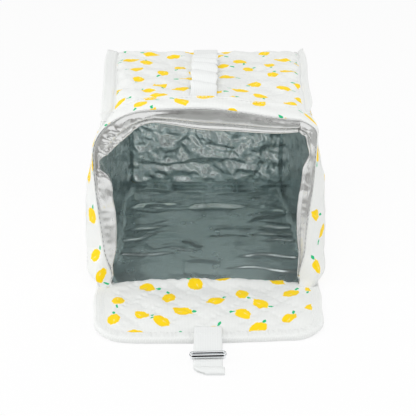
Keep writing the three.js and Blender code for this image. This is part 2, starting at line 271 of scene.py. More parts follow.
# Printed cotton: a white ground with small painted lemons, each turned its own way.
def printedCotton(name, thread=1.3):
    p = lemonPrint
    material, tree, shader, cloth = startMaterial(
        name, Roughness=0.88, Sheen_Weight=0.12, Sheen_Roughness=0.5, Specular_IOR_Level=0.25)
    weave = addWeave(tree, shader, cloth, thread, 0.22)
    lattice = addNode(tree, "Mapping", {"Vector": cloth, "Rotation": (0, 0, math.radians(p["turn"])),
                                        "Scale": (1 / p["repeat"],) * 3})
    cell = addNode(tree, "TexVoronoi", {"Vector": lattice, "Scale": 1.0, "Randomness": p["scatter"]},
                   voronoi_dimensions="2D")
    lot = addNode(tree, "SeparateColor", {"Color": cell.outputs["Color"]})
    away = addNode(tree, "VectorMath", {0: lattice, 1: cell.outputs["Position"]}, operation="SUBTRACT")
    inCell = addNode(tree, "VectorMath", {0: away, "Scale": p["repeat"]}, operation="SCALE")
    angle = addNode(tree, "Math", {0: lot.outputs["Red"], 1: 2 * math.pi}, operation="MULTIPLY")
    turned = addNode(tree, "VectorRotate", {"Vector": inCell, "Angle": angle}, rotation_type="Z_AXIS")
    brush = addNode(tree, "TexNoise", {"Vector": cloth, "Scale": 0.35, "Detail": 3.0})  # ragged paint edge
    ragged = addNode(tree, "VectorMath", {0: brush.outputs["Color"], 1: (0.5, 0.5, 0.5)},
                     operation="SUBTRACT")
    painted = addNode(tree, "VectorMath", {0: ragged, 1: (3.0, 3.0, 0), 2: turned},
                      operation="MULTIPLY_ADD")

    def ovalMask(place, longHalf, wideHalf):
        scaled = addNode(tree, "VectorMath", {0: place, 1: (1 / longHalf, 1 / wideHalf, 0)},
                         operation="MULTIPLY")
        return addNode(tree, "VectorMath", {0: scaled}, operation="LENGTH").outputs["Value"]

    body = ovalMask(painted, p["halfLong"], p["halfWide"])
    tips = ovalMask(painted, p["tipLong"], p["tipWide"])
    outline = addNode(tree, "Math", {0: body, 1: tips, 2: 0.3}, operation="SMOOTH_MIN")
    grown = addNode(tree, "MapRange", {"Value": lot.outputs["Green"], "To Min": 0.88, "To Max": 1.12})
    outline = addNode(tree, "Math", {0: outline, 1: grown}, operation="MULTIPLY")
    fruitMask = addNode(tree, "MapRange", {"Value": outline, "From Min": 0.9, "From Max": 1.0,
                                           "To Min": 1.0, "To Max": 0.0})
    leafPlace = addNode(tree, "VectorMath", {0: painted, 1: p["leafAway"]}, operation="SUBTRACT")
    leafPlace = addNode(tree, "VectorRotate", {"Vector": leafPlace, "Angle": math.radians(p["leafTurn"])},
                        rotation_type="Z_AXIS")
    leafMask = addNode(tree, "MapRange", {"Value": ovalMask(leafPlace, p["leafLong"], p["leafWide"]),
                                          "From Min": 0.85, "From Max": 1.1, "To Min": 1.0, "To Max": 0.0})
    strokes = addNode(tree, "VectorMath", {0: painted, 1: (0.05, 0.3, 0)}, operation="MULTIPLY")
    streak = addNode(tree, "TexNoise", {"Vector": strokes, "Scale": 1.0, "Detail": 2.0})
    paint = addNode(tree, "ValToRGB", {"Fac": streak.outputs["Fac"]})
    ramp = paint.color_ramp
    ramp.elements[0].position, ramp.elements[0].color = 0.3, toLinear(p["fruitDeep"])
    ramp.elements[1].position, ramp.elements[1].color = 0.46, toLinear(p["fruit"])
    ramp.elements.new(0.64).color = toLinear(p["fruit"])
    ramp.elements.new(0.72).color = toLinear(p["bare"])  # dry strokes let the ground through
    # the ground is painted darker where the weave sinks: painted shade in the hollows between threads
    shade = addNode(tree, "MixRGB", {"Fac": weave, "Color1": toLinear(p["groundHollowShade"]),
                                     "Color2": toLinear(p["ground"])})
    withLeaf = addNode(tree, "MixRGB", {"Fac": leafMask.outputs["Result"], "Color1": shade,
                                        "Color2": toLinear(p["leaf"])})
    withFruit = addNode(tree, "MixRGB", {"Fac": fruitMask.outputs["Result"], "Color1": withLeaf,
                                         "Color2": paint.outputs["Color"]})
    tree.links.new(withFruit.outputs["Color"], shader.inputs["Base Color"])
    return material


# Plain cotton twill tape: matt white, its diagonal ribs just break the surface.
def twillTape(name, rib=1.5):
    material, tree, shader, cloth = startMaterial(
        name, Roughness=0.85, Sheen_Weight=0.12, Sheen_Roughness=0.5, Specular_IOR_Level=0.25)
    slant = addNode(tree, "Mapping", {"Vector": cloth, "Rotation": (0, 0, math.radians(35))})
    weave = addWeave(tree, shader, slant, rib, 0.1)
    # the tape is painted darker where its ribs sink: painted shade in the hollows of the weave
    shade = addNode(tree, "MixRGB", {"Fac": weave, "Color1": toLinear("#E8EAE8"),
                                     "Color2": toLinear("#F0F1F0")})
    tree.links.new(shade.outputs["Color"], shader.inputs["Base Color"])
    return material


# Cotton webbing: thick cords laid side by side and bound across, which gives fine ridges along it.
def cottonWebbing(name, cord=2.1, pick=1.4):
    material, tree, shader, cloth = startMaterial(
        name, Roughness=0.8, Sheen_Weight=0.1, Sheen_Roughness=0.5, Specular_IOR_Level=0.3)
    along = addNode(tree, "TexWave", {"Vector": cloth, "Scale": bandScale(cord), "Distortion": 0.4},
                    bands_direction="X")
    across = addNode(tree, "TexWave", {"Vector": cloth, "Scale": bandScale(pick), "Distortion": 0.8},
                     bands_direction="Y")
    height = addNode(tree, "Math", {0: across.outputs["Fac"], 1: 0.7, 2: along.outputs["Fac"]},
                     operation="MULTIPLY_ADD")
    bump = addNode(tree, "Bump", {"Height": height, "Strength": 0.6, "Distance": 0.09 * millimetre})
    tree.links.new(bump.outputs["Normal"], shader.inputs["Normal"])
    # the webbing is painted darker in the grooves between its cords and picks: painted shade
    shade = addNode(tree, "MixRGB", {"Fac": height, "Color1": toLinear("#E6E8E7"),
                                     "Color2": toLinear("#EAECEB")})
    tree.links.new(shade.outputs["Color"], shader.inputs["Base Color"])
    return material


# Aluminised film on a soft backing: a smooth metal skin whose folds catch light along their edges.
def aluminisedFilm(name, colour, rough, dent, depth, metal):
    material, tree, shader, cloth = startMaterial(name, Metallic=metal, Base_Color=toLinear(colour))
    dents = addNode(tree, "TexNoise", {"Vector": cloth, "Scale": 1 / dent, "Detail": 0.0})
    bump = addNode(tree, "Bump", {"Height": dents.outputs["Fac"], "Strength": 1.0,
                                  "Distance": depth * millimetre})
    tree.links.new(bump.outputs["Normal"], shader.inputs["Normal"])
    cloud = addNode(tree, "TexNoise", {"Vector": cloth, "Scale": 0.06, "Detail": 2.0})
    dull = addNode(tree, "MapRange", {"Value": cloud.outputs["Fac"], "From Min": 0.3, "From Max": 0.7,
                                      "To Min": rough - 0.05, "To Max": rough + 0.06})
    tree.links.new(dull.outputs["Result"], shader.inputs["Roughness"])
    return material


# Chrome plate on steel wire: a near mirror with faint drawing marks along the wire.
def chromePlate(name):
    material, tree, shader, cloth = startMaterial(name, Metallic=1.0, Base_Color=toLinear("#F0F2F4"))
    marks = addNode(tree, "TexNoise", {"Vector": cloth, "Scale": 0.8, "Detail": 3.0})
    dull = addNode(tree, "MapRange", {"Value": marks.outputs["Fac"], "To Min": 0.02, "To Max": 0.06})
    tree.links.new(dull.outputs["Result"], shader.inputs["Roughness"])
    return material


# Polyester thread: smooth and slightly shiny.
def thread(name, colour):
    return startMaterial(name, Base_Color=toLinear(colour), Roughness=0.55, Specular_IOR_Level=0.4)[0]


printCotton = printedCotton("printed cotton")
tapeCotton = twillTape("cotton twill tape")
webbing = cottonWebbing("cotton webbing")
# One film in two copies: the lining's is painted darker, with a teal cast, as painted shade deep in the bag;
# the facing's is lighter, as painted light at the rim
shadedFilm = aluminisedFilm("aluminised film, lining, shaded copy", "#D6E1E1", 0.22, 26, 1.0, 0.85)
litFilm = aluminisedFilm("aluminised film, facing, lit copy", "#E4E5E4", 0.24, 14, 0.5, 1.0)
chrome = chromePlate("chrome plated wire")
whiteThread = thread("polyester thread, white", "#ECEDEC")
# the rim seam's thread is painted dark grey, as painted shade along the seam's groove
seamShadeThread = thread("polyester thread, grey, seam shade", "#6C6F73")
print("materials made")

# The bag's shell: the section lofted from the base to the mouth, as the CAD pieces have it

bagBody = dict(
    backHeight=230, frontSetback=30, baseWidth=198, baseDepth=160,
    mouthWidthBack=186, mouthWidthFront=204, mouthDepth=172,
    baseCorner=14, mouthCorner=45, tightCorner=18,  # the mouth's right corner is the tight one
    frontCrown=4, gussetBulge=11.5, bulgeHeight=184, rightBulge=0.6, swellSkew=0.8,
    mouthFlare=9, rimFlare=0.25, flareSpan=20, flareEnd=50,
    wall=7.4, layerGap=0.3, bandWidth=25,
    thinShare=0.6, thinSpan=32,  # the padding thins where the flap's ends are sewn in
    frontSag=2.5, sagFull=110, sagEnd=60,  # the front panel hangs between its seams
)

# Slack of the cloth: how far it moves, and the spans over which each move comes or goes
clothSlack = dict(
    pinch=3.0, pinchSpan=(18, 60), pinchSkin=(-2.5, 2.1),  # the rim is pressed flat at its upper corners
    droops=[(11, 85, 65), (2.5, -62, 50)],  # the rim droops right and left: fall, middle and spread
    bow=7, bowHeight=(120, 75), bowSide=(20, 95),  # and bows out on the left
    draw=4.4, drawSpan=(2, 28), drawHeight=(45, 115), drawSide=(60, 95), drawSkin=(-1.5, 2),
    # the walls fall in behind the rim's upper corners, and the far edge sags
    dent={-1: 4.0, 1: 5.5}, dentHeight=(95, 150), dentStart=(4, 40), dentEnd=(90, 210), dentSide=(50, 95),
    farSag=1.8, farSpan=(120, 230), farHalf=110,
    # the gussets splay out and reach over the flap's root
    splay={-1: 7.5, 1: 6}, splayHeight=(10, 42), splaySpan=(6, 40),
    reach=9, reachHeight=(2, 40), reachSpan=(4, 40), skin=(-0.5, 3), skinSide=(60, 95),
)


def mix(a, b, share):
    return a + (b - a) * share


def thinnedInset(side, u, inset, fromMouth):  # depth in the wall, where the padding thins or is pressed
    b, k = bagBody, clothSlack
    thin = b["thinShare"] * fade(fromMouth, 0, b["thinSpan"])
    if side == "back":
        inset = inset * (1 - thin * smooth(np.abs(u), 0.3, 0.6))
    elif side != "front":
        inset = inset * (1 - thin * smooth(-u, 0.5, 1.0))
    upper = {"front": smooth(np.abs(u), 0.4, 0.75), "back": 0}.get(side, smooth(u, -0.15, 0.45))
    return inset + k["pinch"] * upper * fade(fromMouth, *k["pinchSpan"]) * fade(inset, *k["pinchSkin"])


def slackened(x, z, inset, fromMouth, share, depth):  # where the slack cloth lies, and its reach forward
    k = clothSlack
    droop = sum(fall * bell(x, middle, spread) for fall, middle, spread in k["droops"])
    z = z - droop * share**2 * (z / depth) ** 3
    x = x - k["bow"] * share**7 * bell(z, *k["bowHeight"]) * smooth(-x, *k["bowSide"])
    draw = fade(fromMouth, *k["drawSpan"]) * fade(z, *k["drawHeight"]) * smooth(x, *k["drawSide"])
    x = x - k["draw"] * draw * smooth(inset, *k["drawSkin"])
    dent = smooth(z, *k["dentHeight"]) * smooth(fromMouth, *k["dentStart"]) * fade(fromMouth, *k["dentEnd"])
    x = x - np.where(x > 0, k["dent"][1], -k["dent"][-1]) * dent * smooth(np.abs(x), *k["dentSide"])
    far = k["farSag"] * smooth(fromMouth, *k["farSpan"])
    z = z - far * (z / depth) ** 3 * (1 - (x / k["farHalf"]) ** 2)
    outside = fade(inset, *k["skin"]) * smooth(np.abs(x), *k["skinSide"])
    splay = np.where(x > 0, k["splay"][1], k["splay"][-1])
    splay = splay * fade(z, *k["splayHeight"]) * fade(fromMouth, *k["splaySpan"])
    reach = k["reach"] * fade(z, *k["reachHeight"]) * fade(fromMouth, *k["reachSpan"]) * outside
    return x + np.sign(x) * splay * outside, z, reach


def shellPoint(side, u, inset, fromMouth):
    # u runs across a side from -1 to 1, round to mid corner; inset goes in from the outer face
    b = bagBody
    u, inset, fromMouth = np.broadcast_arrays(*(np.asarray(v, float) for v in (u, inset, fromMouth)))
    inset = thinnedInset(side, u, inset, fromMouth)
    share = np.clip(1 - fromMouth / b["backHeight"], 0, 1)
    depth = mix(b["baseDepth"], b["mouthDepth"], share)
    flare = b["mouthFlare"] * mix(b["rimFlare"], 1, smooth(fromMouth, 0, b["flareSpan"]))
    flare = flare * fade(fromMouth, b["flareEnd"], b["backHeight"])
    backHalf = mix(b["baseWidth"], b["mouthWidthBack"], share) / 2 + flare
    frontHalf = mix(b["baseWidth"], b["mouthWidthFront"], share) / 2
    middleHalf = (backHalf + frontHalf) / 2
    onRight = (side == "right") | ((side == "front") & (u > 0))
    frontCorner = mix(b["baseCorner"], np.where(onRight, b["tightCorner"], b["mouthCorner"]), share**2)
    onFront = np.full(u.shape, side == "front") | ((side in ("left", "right")) & (u > 0))
    radius = np.where(onFront, frontCorner, b["baseCorner"])
    along = np.clip(u / 0.5, -1, 1)
    bend = np.maximum(0, np.abs(u) - 0.5) / 0.5 * (math.pi / 4)
    turn = np.sign(u) * (radius - inset) * np.sin(bend)
    depthIn = radius - (radius - inset) * np.cos(bend)
    swell = (1 - u * u) ** 2
    if side in ("front", "back"):
        x = along * (middleHalf - radius) + turn
        z = depthIn if side == "back" else depth - depthIn + b["frontCrown"] * share * swell
    else:
        swellPower = math.log(0.5) / math.log(b["bulgeHeight"] / b["backHeight"])
        bulge = b["gussetBulge"] * np.sin(math.pi * share**swellPower)
        bulge = bulge * (b["rightBulge"] if side == "right" else 1)
        out = middleHalf - depthIn + bulge * swell * (1 - b["swellSkew"] * u)
        x = -out if side == "left" else out
        z = mix(b["baseCorner"], depth - frontCorner, (along + 1) / 2) + turn
    x, z, reach = slackened(x, z, inset, fromMouth, share, depth)
    taper = mix(backHalf, frontHalf, z / depth) / middleHalf
    leanEnd = b["backHeight"] - b["wall"] - b["layerGap"]
    lean = b["frontSetback"] * np.maximum(0, 1 - fromMouth / leanEnd) * z / b["mouthDepth"]
    return np.stack([x * taper, fromMouth - b["backHeight"] / 2 + lean - reach, z], -1)


def frontSag(side, u, w):  # how far a panel hangs in, at a distance from the mouth
    b = bagBody
    if side != "front":
        return 0.0
    span = smooth(w, b["bandWidth"], b["sagFull"]) * smooth(b["backHeight"] - w, 0, b["sagEnd"])
    return b["frontSag"] * span * (1 - u * u) ** 2


def acrossLength(grid):  # cloth length across each row, from the row's middle
    far = np.cumsum(np.linalg.norm(np.diff(grid, axis=1), axis=2), axis=1)
    far = np.concatenate([np.zeros((len(grid), 1)), far], 1)
    return far - far[:, [far.shape[1] // 2]]


def sideSteps(flat, corner, edge=1.0):  # u stations: a flat part and two round ends
    return np.concatenate([np.linspace(-edge, -0.5, corner + 1), np.linspace(-0.5, 0.5, flat + 1)[1:-1],
                           np.linspace(0.5, edge, corner + 1)])


# Quilting: the cloth is sewn to its foam along crossing diagonals and puffs up between them
quilting = dict(pitch=24, puff=1.5, wrinkle=0.35, tuck=0.42, tuckLength=8.5, tuckReach=5)


def quiltRise(s, t):
    reach = quilting["pitch"] * math.sqrt(2)
    return np.sqrt(np.abs(np.sin(math.pi * (s + t) / reach) * np.sin(math.pi * (s - t) / reach)))


def softWrinkles(s, t, seed):  # shallow waves of slack cloth
    draw = np.random.default_rng(seed)
    rise = 0
    for length in (17, 23, 31, 44):
        heading, shift = draw.uniform(0, math.pi), draw.uniform(0, 1)
        along = (s * math.cos(heading) + t * math.sin(heading)) / length + shift
        rise = rise + np.sin(2 * math.pi * along + 1.5 * np.sin(t / 27 + 6 * shift)) * length / 30
    return rise * quilting["wrinkle"]


def seamTucks(s, t):  # short tucks where the quilting thread draws the cloth together
    q = quilting
    rise = 0
    for across, along in ((s + t, s - t), (s - t, s + t)):
        seam = np.round(across / (q["pitch"] * math.sqrt(2)))
        away = across / math.sqrt(2) - seam * q["pitch"]
        place = along / math.sqrt(2) / q["tuckLength"] + 0.37 * seam
        tuck = np.sin(2 * math.pi * place + 1.3 * np.sin(2.4 * place + seam))
        rise = rise + q["tuck"] * tuck * bell(away, 0, q["tuckReach"])
    return rise


def quiltedRise(s, t, seed):
    return quiltRise(s, t) * quilting["puff"] + seamTucks(s, t) + softWrinkles(s, t, seed)


wallPads = dict(
    flatSteps=72, cornerSteps=14, rows=96, inner=6.2, seamEdge=0.985, seamDip=0.5, baseRound=4.5,
    start={"front": 0.4, "back": -3.0, "left": 0.4, "right": 0.4}, endGap=0.6,
    puff={"front": 1.0, "left": 0.9, "right": 0.9}, quiltLevel=0.45,
    backPuff=0.6, backLevel=1.3,  # the back lies flat on the table
    strapSide=3, strapSpan=(12, 18), strapPress=-0.2,  # the front is pressed down under its strap
    seed={"front": 3, "back": 5, "left": 8, "right": 13},
    cloth={"front": (0, 0), "back": (424, 78), "left": (905, 35), "right": (1310, 90)},
    nodes={"front": "front_panel", "back": "back_panel", "left": "left_gusset", "right": "right_gusset"},
)


def makeWallPad(side):
    p, b = wallPads, bagBody
    end = b["backHeight"] - p["endGap"]
    us = sideSteps(p["flatSteps"], p["cornerSteps"], p["seamEdge"])
    u, w = np.meshgrid(us, np.linspace(p["start"][side], end, p["rows"]))
    s = acrossLength(shellPoint(side, u, 0, w))
    atSeam = smooth(np.abs(u), 0.86, 1.0)
    behindBand = smooth(w, b["bandWidth"], b["bandWidth"] + 9) if side != "back" else 1.0
    toEnd = np.maximum(0, w - (end - p["baseRound"]))
    rounded = p["baseRound"] - np.sqrt(np.maximum(p["baseRound"] ** 2 - toEnd**2, 0))
    rise = (quiltedRise(s, w, p["seed"][side]) - p["quiltLevel"]) * behindBand
    if side == "back":
        rise = np.minimum(rise - p["backLevel"], 0) * p["backPuff"]
    else:
        rise = rise * p["puff"][side]
    if side == "front":
        rise = mix(rise, np.minimum(rise, p["strapPress"]), fade(np.abs(s + p["strapSide"]), *p["strapSpan"]))
    sag = frontSag(side, u, w)
    outerInset = -rise * (1 - atSeam) + p["seamDip"] * atSeam * behindBand + rounded + sag
    outer = shellPoint(side, u, outerInset, w)
    inner = shellPoint(side, u, p["inner"] + sag, w)
    flat = np.stack([s, w], -1) + p["cloth"][side]
    node = p["nodes"][side]
    piece = slabPiece(node + "_pad", outer, inner, printCotton, flat)
    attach(piece, "bag")
    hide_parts(node, side + "_foam")


for sideName in ("front", "back", "left", "right"):
    makeWallPad(sideName)

# The base pad: the same quilted stack, its edge rolled under to meet the walls
basePad = dict(
    steps=76, inset=0.8, gap=0.2, edgeRound=4.5, inner=6.2,
    puff=0.9, quiltLevel=0.9, quiltTop=0.4, quiltEdge=(2, 16), cloth=(1720, 40), seed=21,
)


def roundedGrid(halfX, lowZ, highZ, radius, count):  # square grid pressed into a rounded rectangle
    x, z = np.meshgrid(np.linspace(-halfX, halfX, count), np.linspace(lowZ, highZ, count))
    cx, cz = np.clip(x, -halfX + radius, halfX - radius), np.clip(z, lowZ + radius, highZ - radius)
    dx, dz = x - cx, z - cz
    square, circle = np.maximum(np.abs(dx), np.abs(dz)), np.hypot(dx, dz)
    pull = np.where(circle > 1e-9, square / np.maximum(circle, 1e-9), 1)
    edge = np.minimum(np.minimum(x + halfX, halfX - x), np.minimum(z - lowZ, highZ - z))
    return cx + dx * pull, cz + dz * pull, edge


def makeBasePad():
    p, b = basePad, bagBody
    half = b["baseWidth"] / 2 - p["inset"]
    x, z, edge = roundedGrid(half, p["inset"], b["baseDepth"] - p["inset"], b["baseCorner"], p["steps"])
    end = b["backHeight"] / 2
    over = np.maximum(0, p["edgeRound"] - edge)
    rounded = p["edgeRound"] - np.sqrt(np.maximum(p["edgeRound"] ** 2 - over**2, 0))
    rise = (quiltedRise(x, z, p["seed"]) - p["quiltLevel"]) * p["puff"]
    y = end - p["gap"] + np.minimum(rise, p["quiltTop"]) * smooth(edge, *p["quiltEdge"]) - rounded
    sag = clothSlack["farSag"] * (z / b["baseDepth"]) ** 3 * (1 - (x / clothSlack["farHalf"]) ** 2)
    sagged = z - sag
    outer = np.stack([x, y, sagged], -1)
    inner = np.stack([x, np.full_like(x, end - p["inner"]), sagged], -1)
    piece = slabPiece("base_panel_pad", outer, inner, printCotton, np.stack([x, z], -1) + p["cloth"])
    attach(piece, "bag")
    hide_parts("base_panel", "base_foam")


makeBasePad()
print("quilted walls made")


# The rim runs up the left gusset, over the front panel and down the right gusset


def rimWalk(flat, corner):
    us = sideSteps(flat, corner)
    return [("left", us), ("front", us[1:]), ("right", us[::-1][1:])]


def rimGrid(walk, inset, w):  # inset and w as (profile, along) arrays
    columns, start = [], 0
    for side, us in walk:
        part = slice(start, start + len(us))
        columns.append(shellPoint(side, us[None, :], inset[:, part], w[:, part]))
        start += len(us)
    return np.concatenate(columns, 1)


def rimLength(walk):
    count = sum(len(us) for _, us in walk)
    return runLength(rimGrid(walk, np.zeros((1, count)), np.zeros((1, count)))[0])


def rimEnds(far):  # 1 at the two ends of the rim, where its cloth closes over the wall's edge
    return fade(np.minimum(far, far[-1] - far), *mouthBand["endSpan"])


mouthBand = dict(
    flatSteps=56, cornerSteps=20, ripple=0.35, cloth=(2120, 15), seed=34,
    endClose=5.0, endSpan=(8, 42),  # how far the cloth closes over at the ends, and from where, mm
    # section from the hem's inner edge round the rim to its sewn edge: inset, distance from the mouth
    section=[(-0.2, 25.4), (-0.6, 26.6), (-1.6, 27.2), (-2.6, 26.8), (-2.9, 25.4), (-2.4, 23.6),
             (-1.7, 22.0), (-1.8, 18), (-1.9, 14), (-2.0, 10), (-2.0, 6), (-2.0, 3), (-1.8, 0.5),
             (-1.3, -1.3), (-0.4, -2.4), (0.5, -2.9), (1.3, -2.9), (1.9, -2.4), (2.0, -1.7),
             (1.7, -1.0), (1.1, -0.3), (0.0, 0.4), (-0.3, 4), (-0.3, 12)],
)


def makeMouthBand():
    p = mouthBand
    walk = rimWalk(p["flatSteps"], p["cornerSteps"])
    far = rimLength(walk)
    inset, w = (np.repeat(np.array(part)[:, None], len(far), 1) for part in zip(*p["section"]))
    outside = inset < -1.1
    inset = inset - outside * p["ripple"] * softWrinkles(far, w, p["seed"]) / quilting["wrinkle"]
    turned = np.clip((inset + 1.3) / 3.3, 0, 1) * (w < 1)  # from 0 at the rim's front to 1 at its seam
    inset = inset + p["endClose"] * turned * rimEnds(far)
    grid = rimGrid(walk, inset, w)
    around = np.cumsum(np.linalg.norm(np.diff(grid, axis=0, prepend=grid[:1]), axis=2), axis=0)
    flat = np.stack([np.broadcast_to(far, w.shape), around], -1)
    rings, ringCloth = (part.transpose(1, 0, 2) for part in (grid, flat + p["cloth"]))
    piece = sweepPiece("mouth_band_hem", rings, printCotton, ringCloth)
    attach(piece, "bag")
    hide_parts("mouth_band")
    return walk, far


rimPath, rimFar = makeMouthBand()


# Film creases in folds with straight flanks


def foldRise(a, b, folds):
    # each fold: place a and b, heading in degrees, half length, height, and the widths of its
    # far side and of the side towards smaller b; the highest fold shows, which leaves flat facets
    rise = np.zeros(np.broadcast(a, b).shape)
    for atA, atB, heading, reach, high, far, near in folds:
        turn = math.radians(heading)
        along = (a - atA) * math.cos(turn) + (b - atB) * math.sin(turn)
        across = (b - atB) * math.cos(turn) - (a - atA) * math.sin(turn)
        across = across + 0.04 * reach * np.sin(along * 5.5 / reach + atA)
        ridge = np.minimum(1 - across / far, 1 + across / near)
        rise = np.maximum(rise, high * np.clip(np.minimum(ridge, 2.2 * (1 - np.abs(along) / reach)), 0, 1))
    return rise


def strewFolds(count, spanA, spanB, heading, spread, reach, high, width, seed):
    draw = np.random.default_rng(seed)
    return [(draw.uniform(*spanA), draw.uniform(*spanB), heading + draw.normal(0, spread),
             reach * draw.uniform(0.5, 1.4), high * draw.uniform(0.4, 1.0),
             width * draw.uniform(0.6, 1.6), width * draw.uniform(0.3, 1.2)) for _ in range(count)]


def crushed(a, b, pitch, seed):  # crossing straight folds that part the film into facets, from -1 to 1
    draw = np.random.default_rng(seed)
    lines = []
    for _ in range(4):
        heading, shift = draw.uniform(0, math.pi), draw.uniform(0, 1)
        across = (a * math.cos(heading) + b * math.sin(heading)) / pitch
        along = (b * math.cos(heading) - a * math.sin(heading)) / pitch
        lines.append(wave(across * draw.uniform(0.7, 1.3) + 0.3 * wave(along * 0.43 + shift) + shift))
    return (np.maximum(lines[0], lines[1]) - np.maximum(lines[2], lines[3])) / 2


# The facing: film sewn round the rim, whose slack hangs into the mouth as a creased lip
mouthFacing = dict(
    flatSteps=110, cornerSteps=44, rows=70, rowGap=2.6, thickness=0.4, seed=55,
    seam=1.8, wall=7.6,  # inset of the seam, and of the lining behind the lip
    leftEnd=(120, 190), rightStart=(340, 390),  # where the rim turns from the sides to the top
    gather=0.09, gatherPitch=7,
    # folds as strewFolds takes them: of the crushed stretches, and of the slack all along the rim
    crease=((4, 22), 70, 45, 11), creaseWidth=6.5, slack=(40, (0, 505), (4, 26), 80, 35, 9, 0.35, 6),
    # crushed stretches of the rim: from, to, number and height of creases
    crumpled=[(82, 112, 6, 1.5), (118, 176, 22, 3.0), (186, 204, 6, 3.0), (346, 372, 14, 3.0),
              (376, 412, 7, 2.0)],
    # reach of the lip from its seam along the rim, mm
    reach=[(0, 1.5), (14, 5), (30, 9.5), (52, 13), (74, 15), (90, 14.5), (102, 15), (111, 12), (118, 4),
           (132, 13), (152, 18), (172, 18), (190, 14), (204, 12), (220, 15), (244, 20), (280, 20),
           (316, 17), (340, 13), (356, 11), (368, 8), (376, 6), (386, 10), (404, 11.5), (424, 12.5),
           (446, 10), (468, 6), (486, 3), (505, 2)],
    # section as shares of the lip's reach: the distance from the mouth at the top, where a crease parts
    # the lip from a swelling strip, and the depth of the hollow on the sides
    section=[(0.0, -2.5, 0), (0.04, -2.9, -0.2), (0.1, -2.9, 0.1), (0.2, -3.2, 0.8), (0.32, -3.6, 1.5),
             (0.44, -3.75, 2.6), (0.54, -3.7, 3.2), (0.6, -3.4, 3.7), (0.66, -1.9, 4.0), (0.70, -0.4, 4.0),
             (0.74, -0.5, 3.9), (0.81, -2.2, 3.5), (0.88, -3.3, 3.1), (0.94, -3.4, 3.0), (0.98, -2.6, 3.6),
             (1.0, -0.6, 5), (0.99, 3, 7), (0.94, 8, 11)],
    # how deep the sides are drawn in, along the rim
    hollow=[(0, 0.1), (40, 0.14), (62, 0.36), (80, 0.2), (95, 0.1), (118, 0.1), (380, 0.3), (396, 1),
            (446, 1), (472, 0.6), (505, 0.1)],
    tent=[(0, 0), (76, 0), (94, 2.0), (110, 3.4), (120, 0.4), (130, 0), (505, 0)],  # film standing out, mm
    # the hanging part behind the lip: how far it falls back to the wall, with the distance from the mouth
    hang=[(0.2, 14), (0.45, 20), (0.75, 26), (0.93, 32), (1.0, 38)],
)


def makeMouthFacing():
    p = mouthFacing
    walk = rimWalk(p["flatSteps"], p["cornerSteps"])
    far = rimLength(walk)
    length = far[-1] / p["reach"][-1][0]
    reach = curveThrough([(at * length, r) for at, r in p["reach"]], far)
    place = far / length
    onSide = fade(place, *p["leftEnd"]) + smooth(place, *p["rightStart"])
    start, wall = p["seam"] + mouthBand["endClose"] * rimEnds(far), p["wall"]
    width = np.maximum(reach * (1 - rimEnds(far)), wall - start)
    section, hang = np.array(p["section"]), np.array(p["hang"])
    inset = start + section[:, :1] * width
    inset = np.concatenate([inset, mix(inset[-1], wall, hang[:, :1])])
    sunk = -2.5 + section[:, 2:] * np.interp(place, *zip(*p["hollow"]))
    sunk[-2:] = section[-2:, 1:2]
    w = np.concatenate([mix(section[:, 1:2], sunk, onSide), np.repeat(hang[:, 1:], len(far), 1)])
    # finer rows between the section's points
    rows = np.linspace(0, len(inset) - 1, p["rows"])
    inset, w = (np.stack([curveThrough(list(enumerate(column)), rows) for column in field.T], 1)
                for field in (inset, w))
    loose = smooth(inset - start, 1.5, 5) * smooth(24 - w, 0, 16)  # held at the seam and at the wall
    creases = []
    for first, last, count, high in p["crumpled"]:
        seed = p["seed"] + first
        creases += strewFolds(count, (first, last), *p["crease"], high, p["creaseWidth"], seed)
    slack = strewFolds(*p["slack"], p["seed"])
    crush = eased(foldRise(place, inset, creases) + foldRise(place, inset, slack), 2)
    gather = np.sin(2 * math.pi * (far / p["gatherPitch"] + 0.3 * np.sin(far / 23)))
    gather = gather * fade((inset - start) / width, 0.3, 0.8)
    gather = p["gather"] * gather * (0.3 + 0.7 * onSide)
    w = w + (gather - crush - np.interp(place, *zip(*p["tent"]))) * loose
    grid = rimGrid(walk, inset, w)
    flat = np.stack(np.broadcast_arrays(far, rows[:, None] * p["rowGap"]), -1)
    piece = sheetPiece("mouth_facing_film", grid, p["thickness"], litFilm, flat)
    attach(piece, "bag")
    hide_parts("mouth_facing")


makeMouthFacing()
print("rim made")


# Lining: film lofted inside the walls in one wrap, and a base piece, both slack and creased


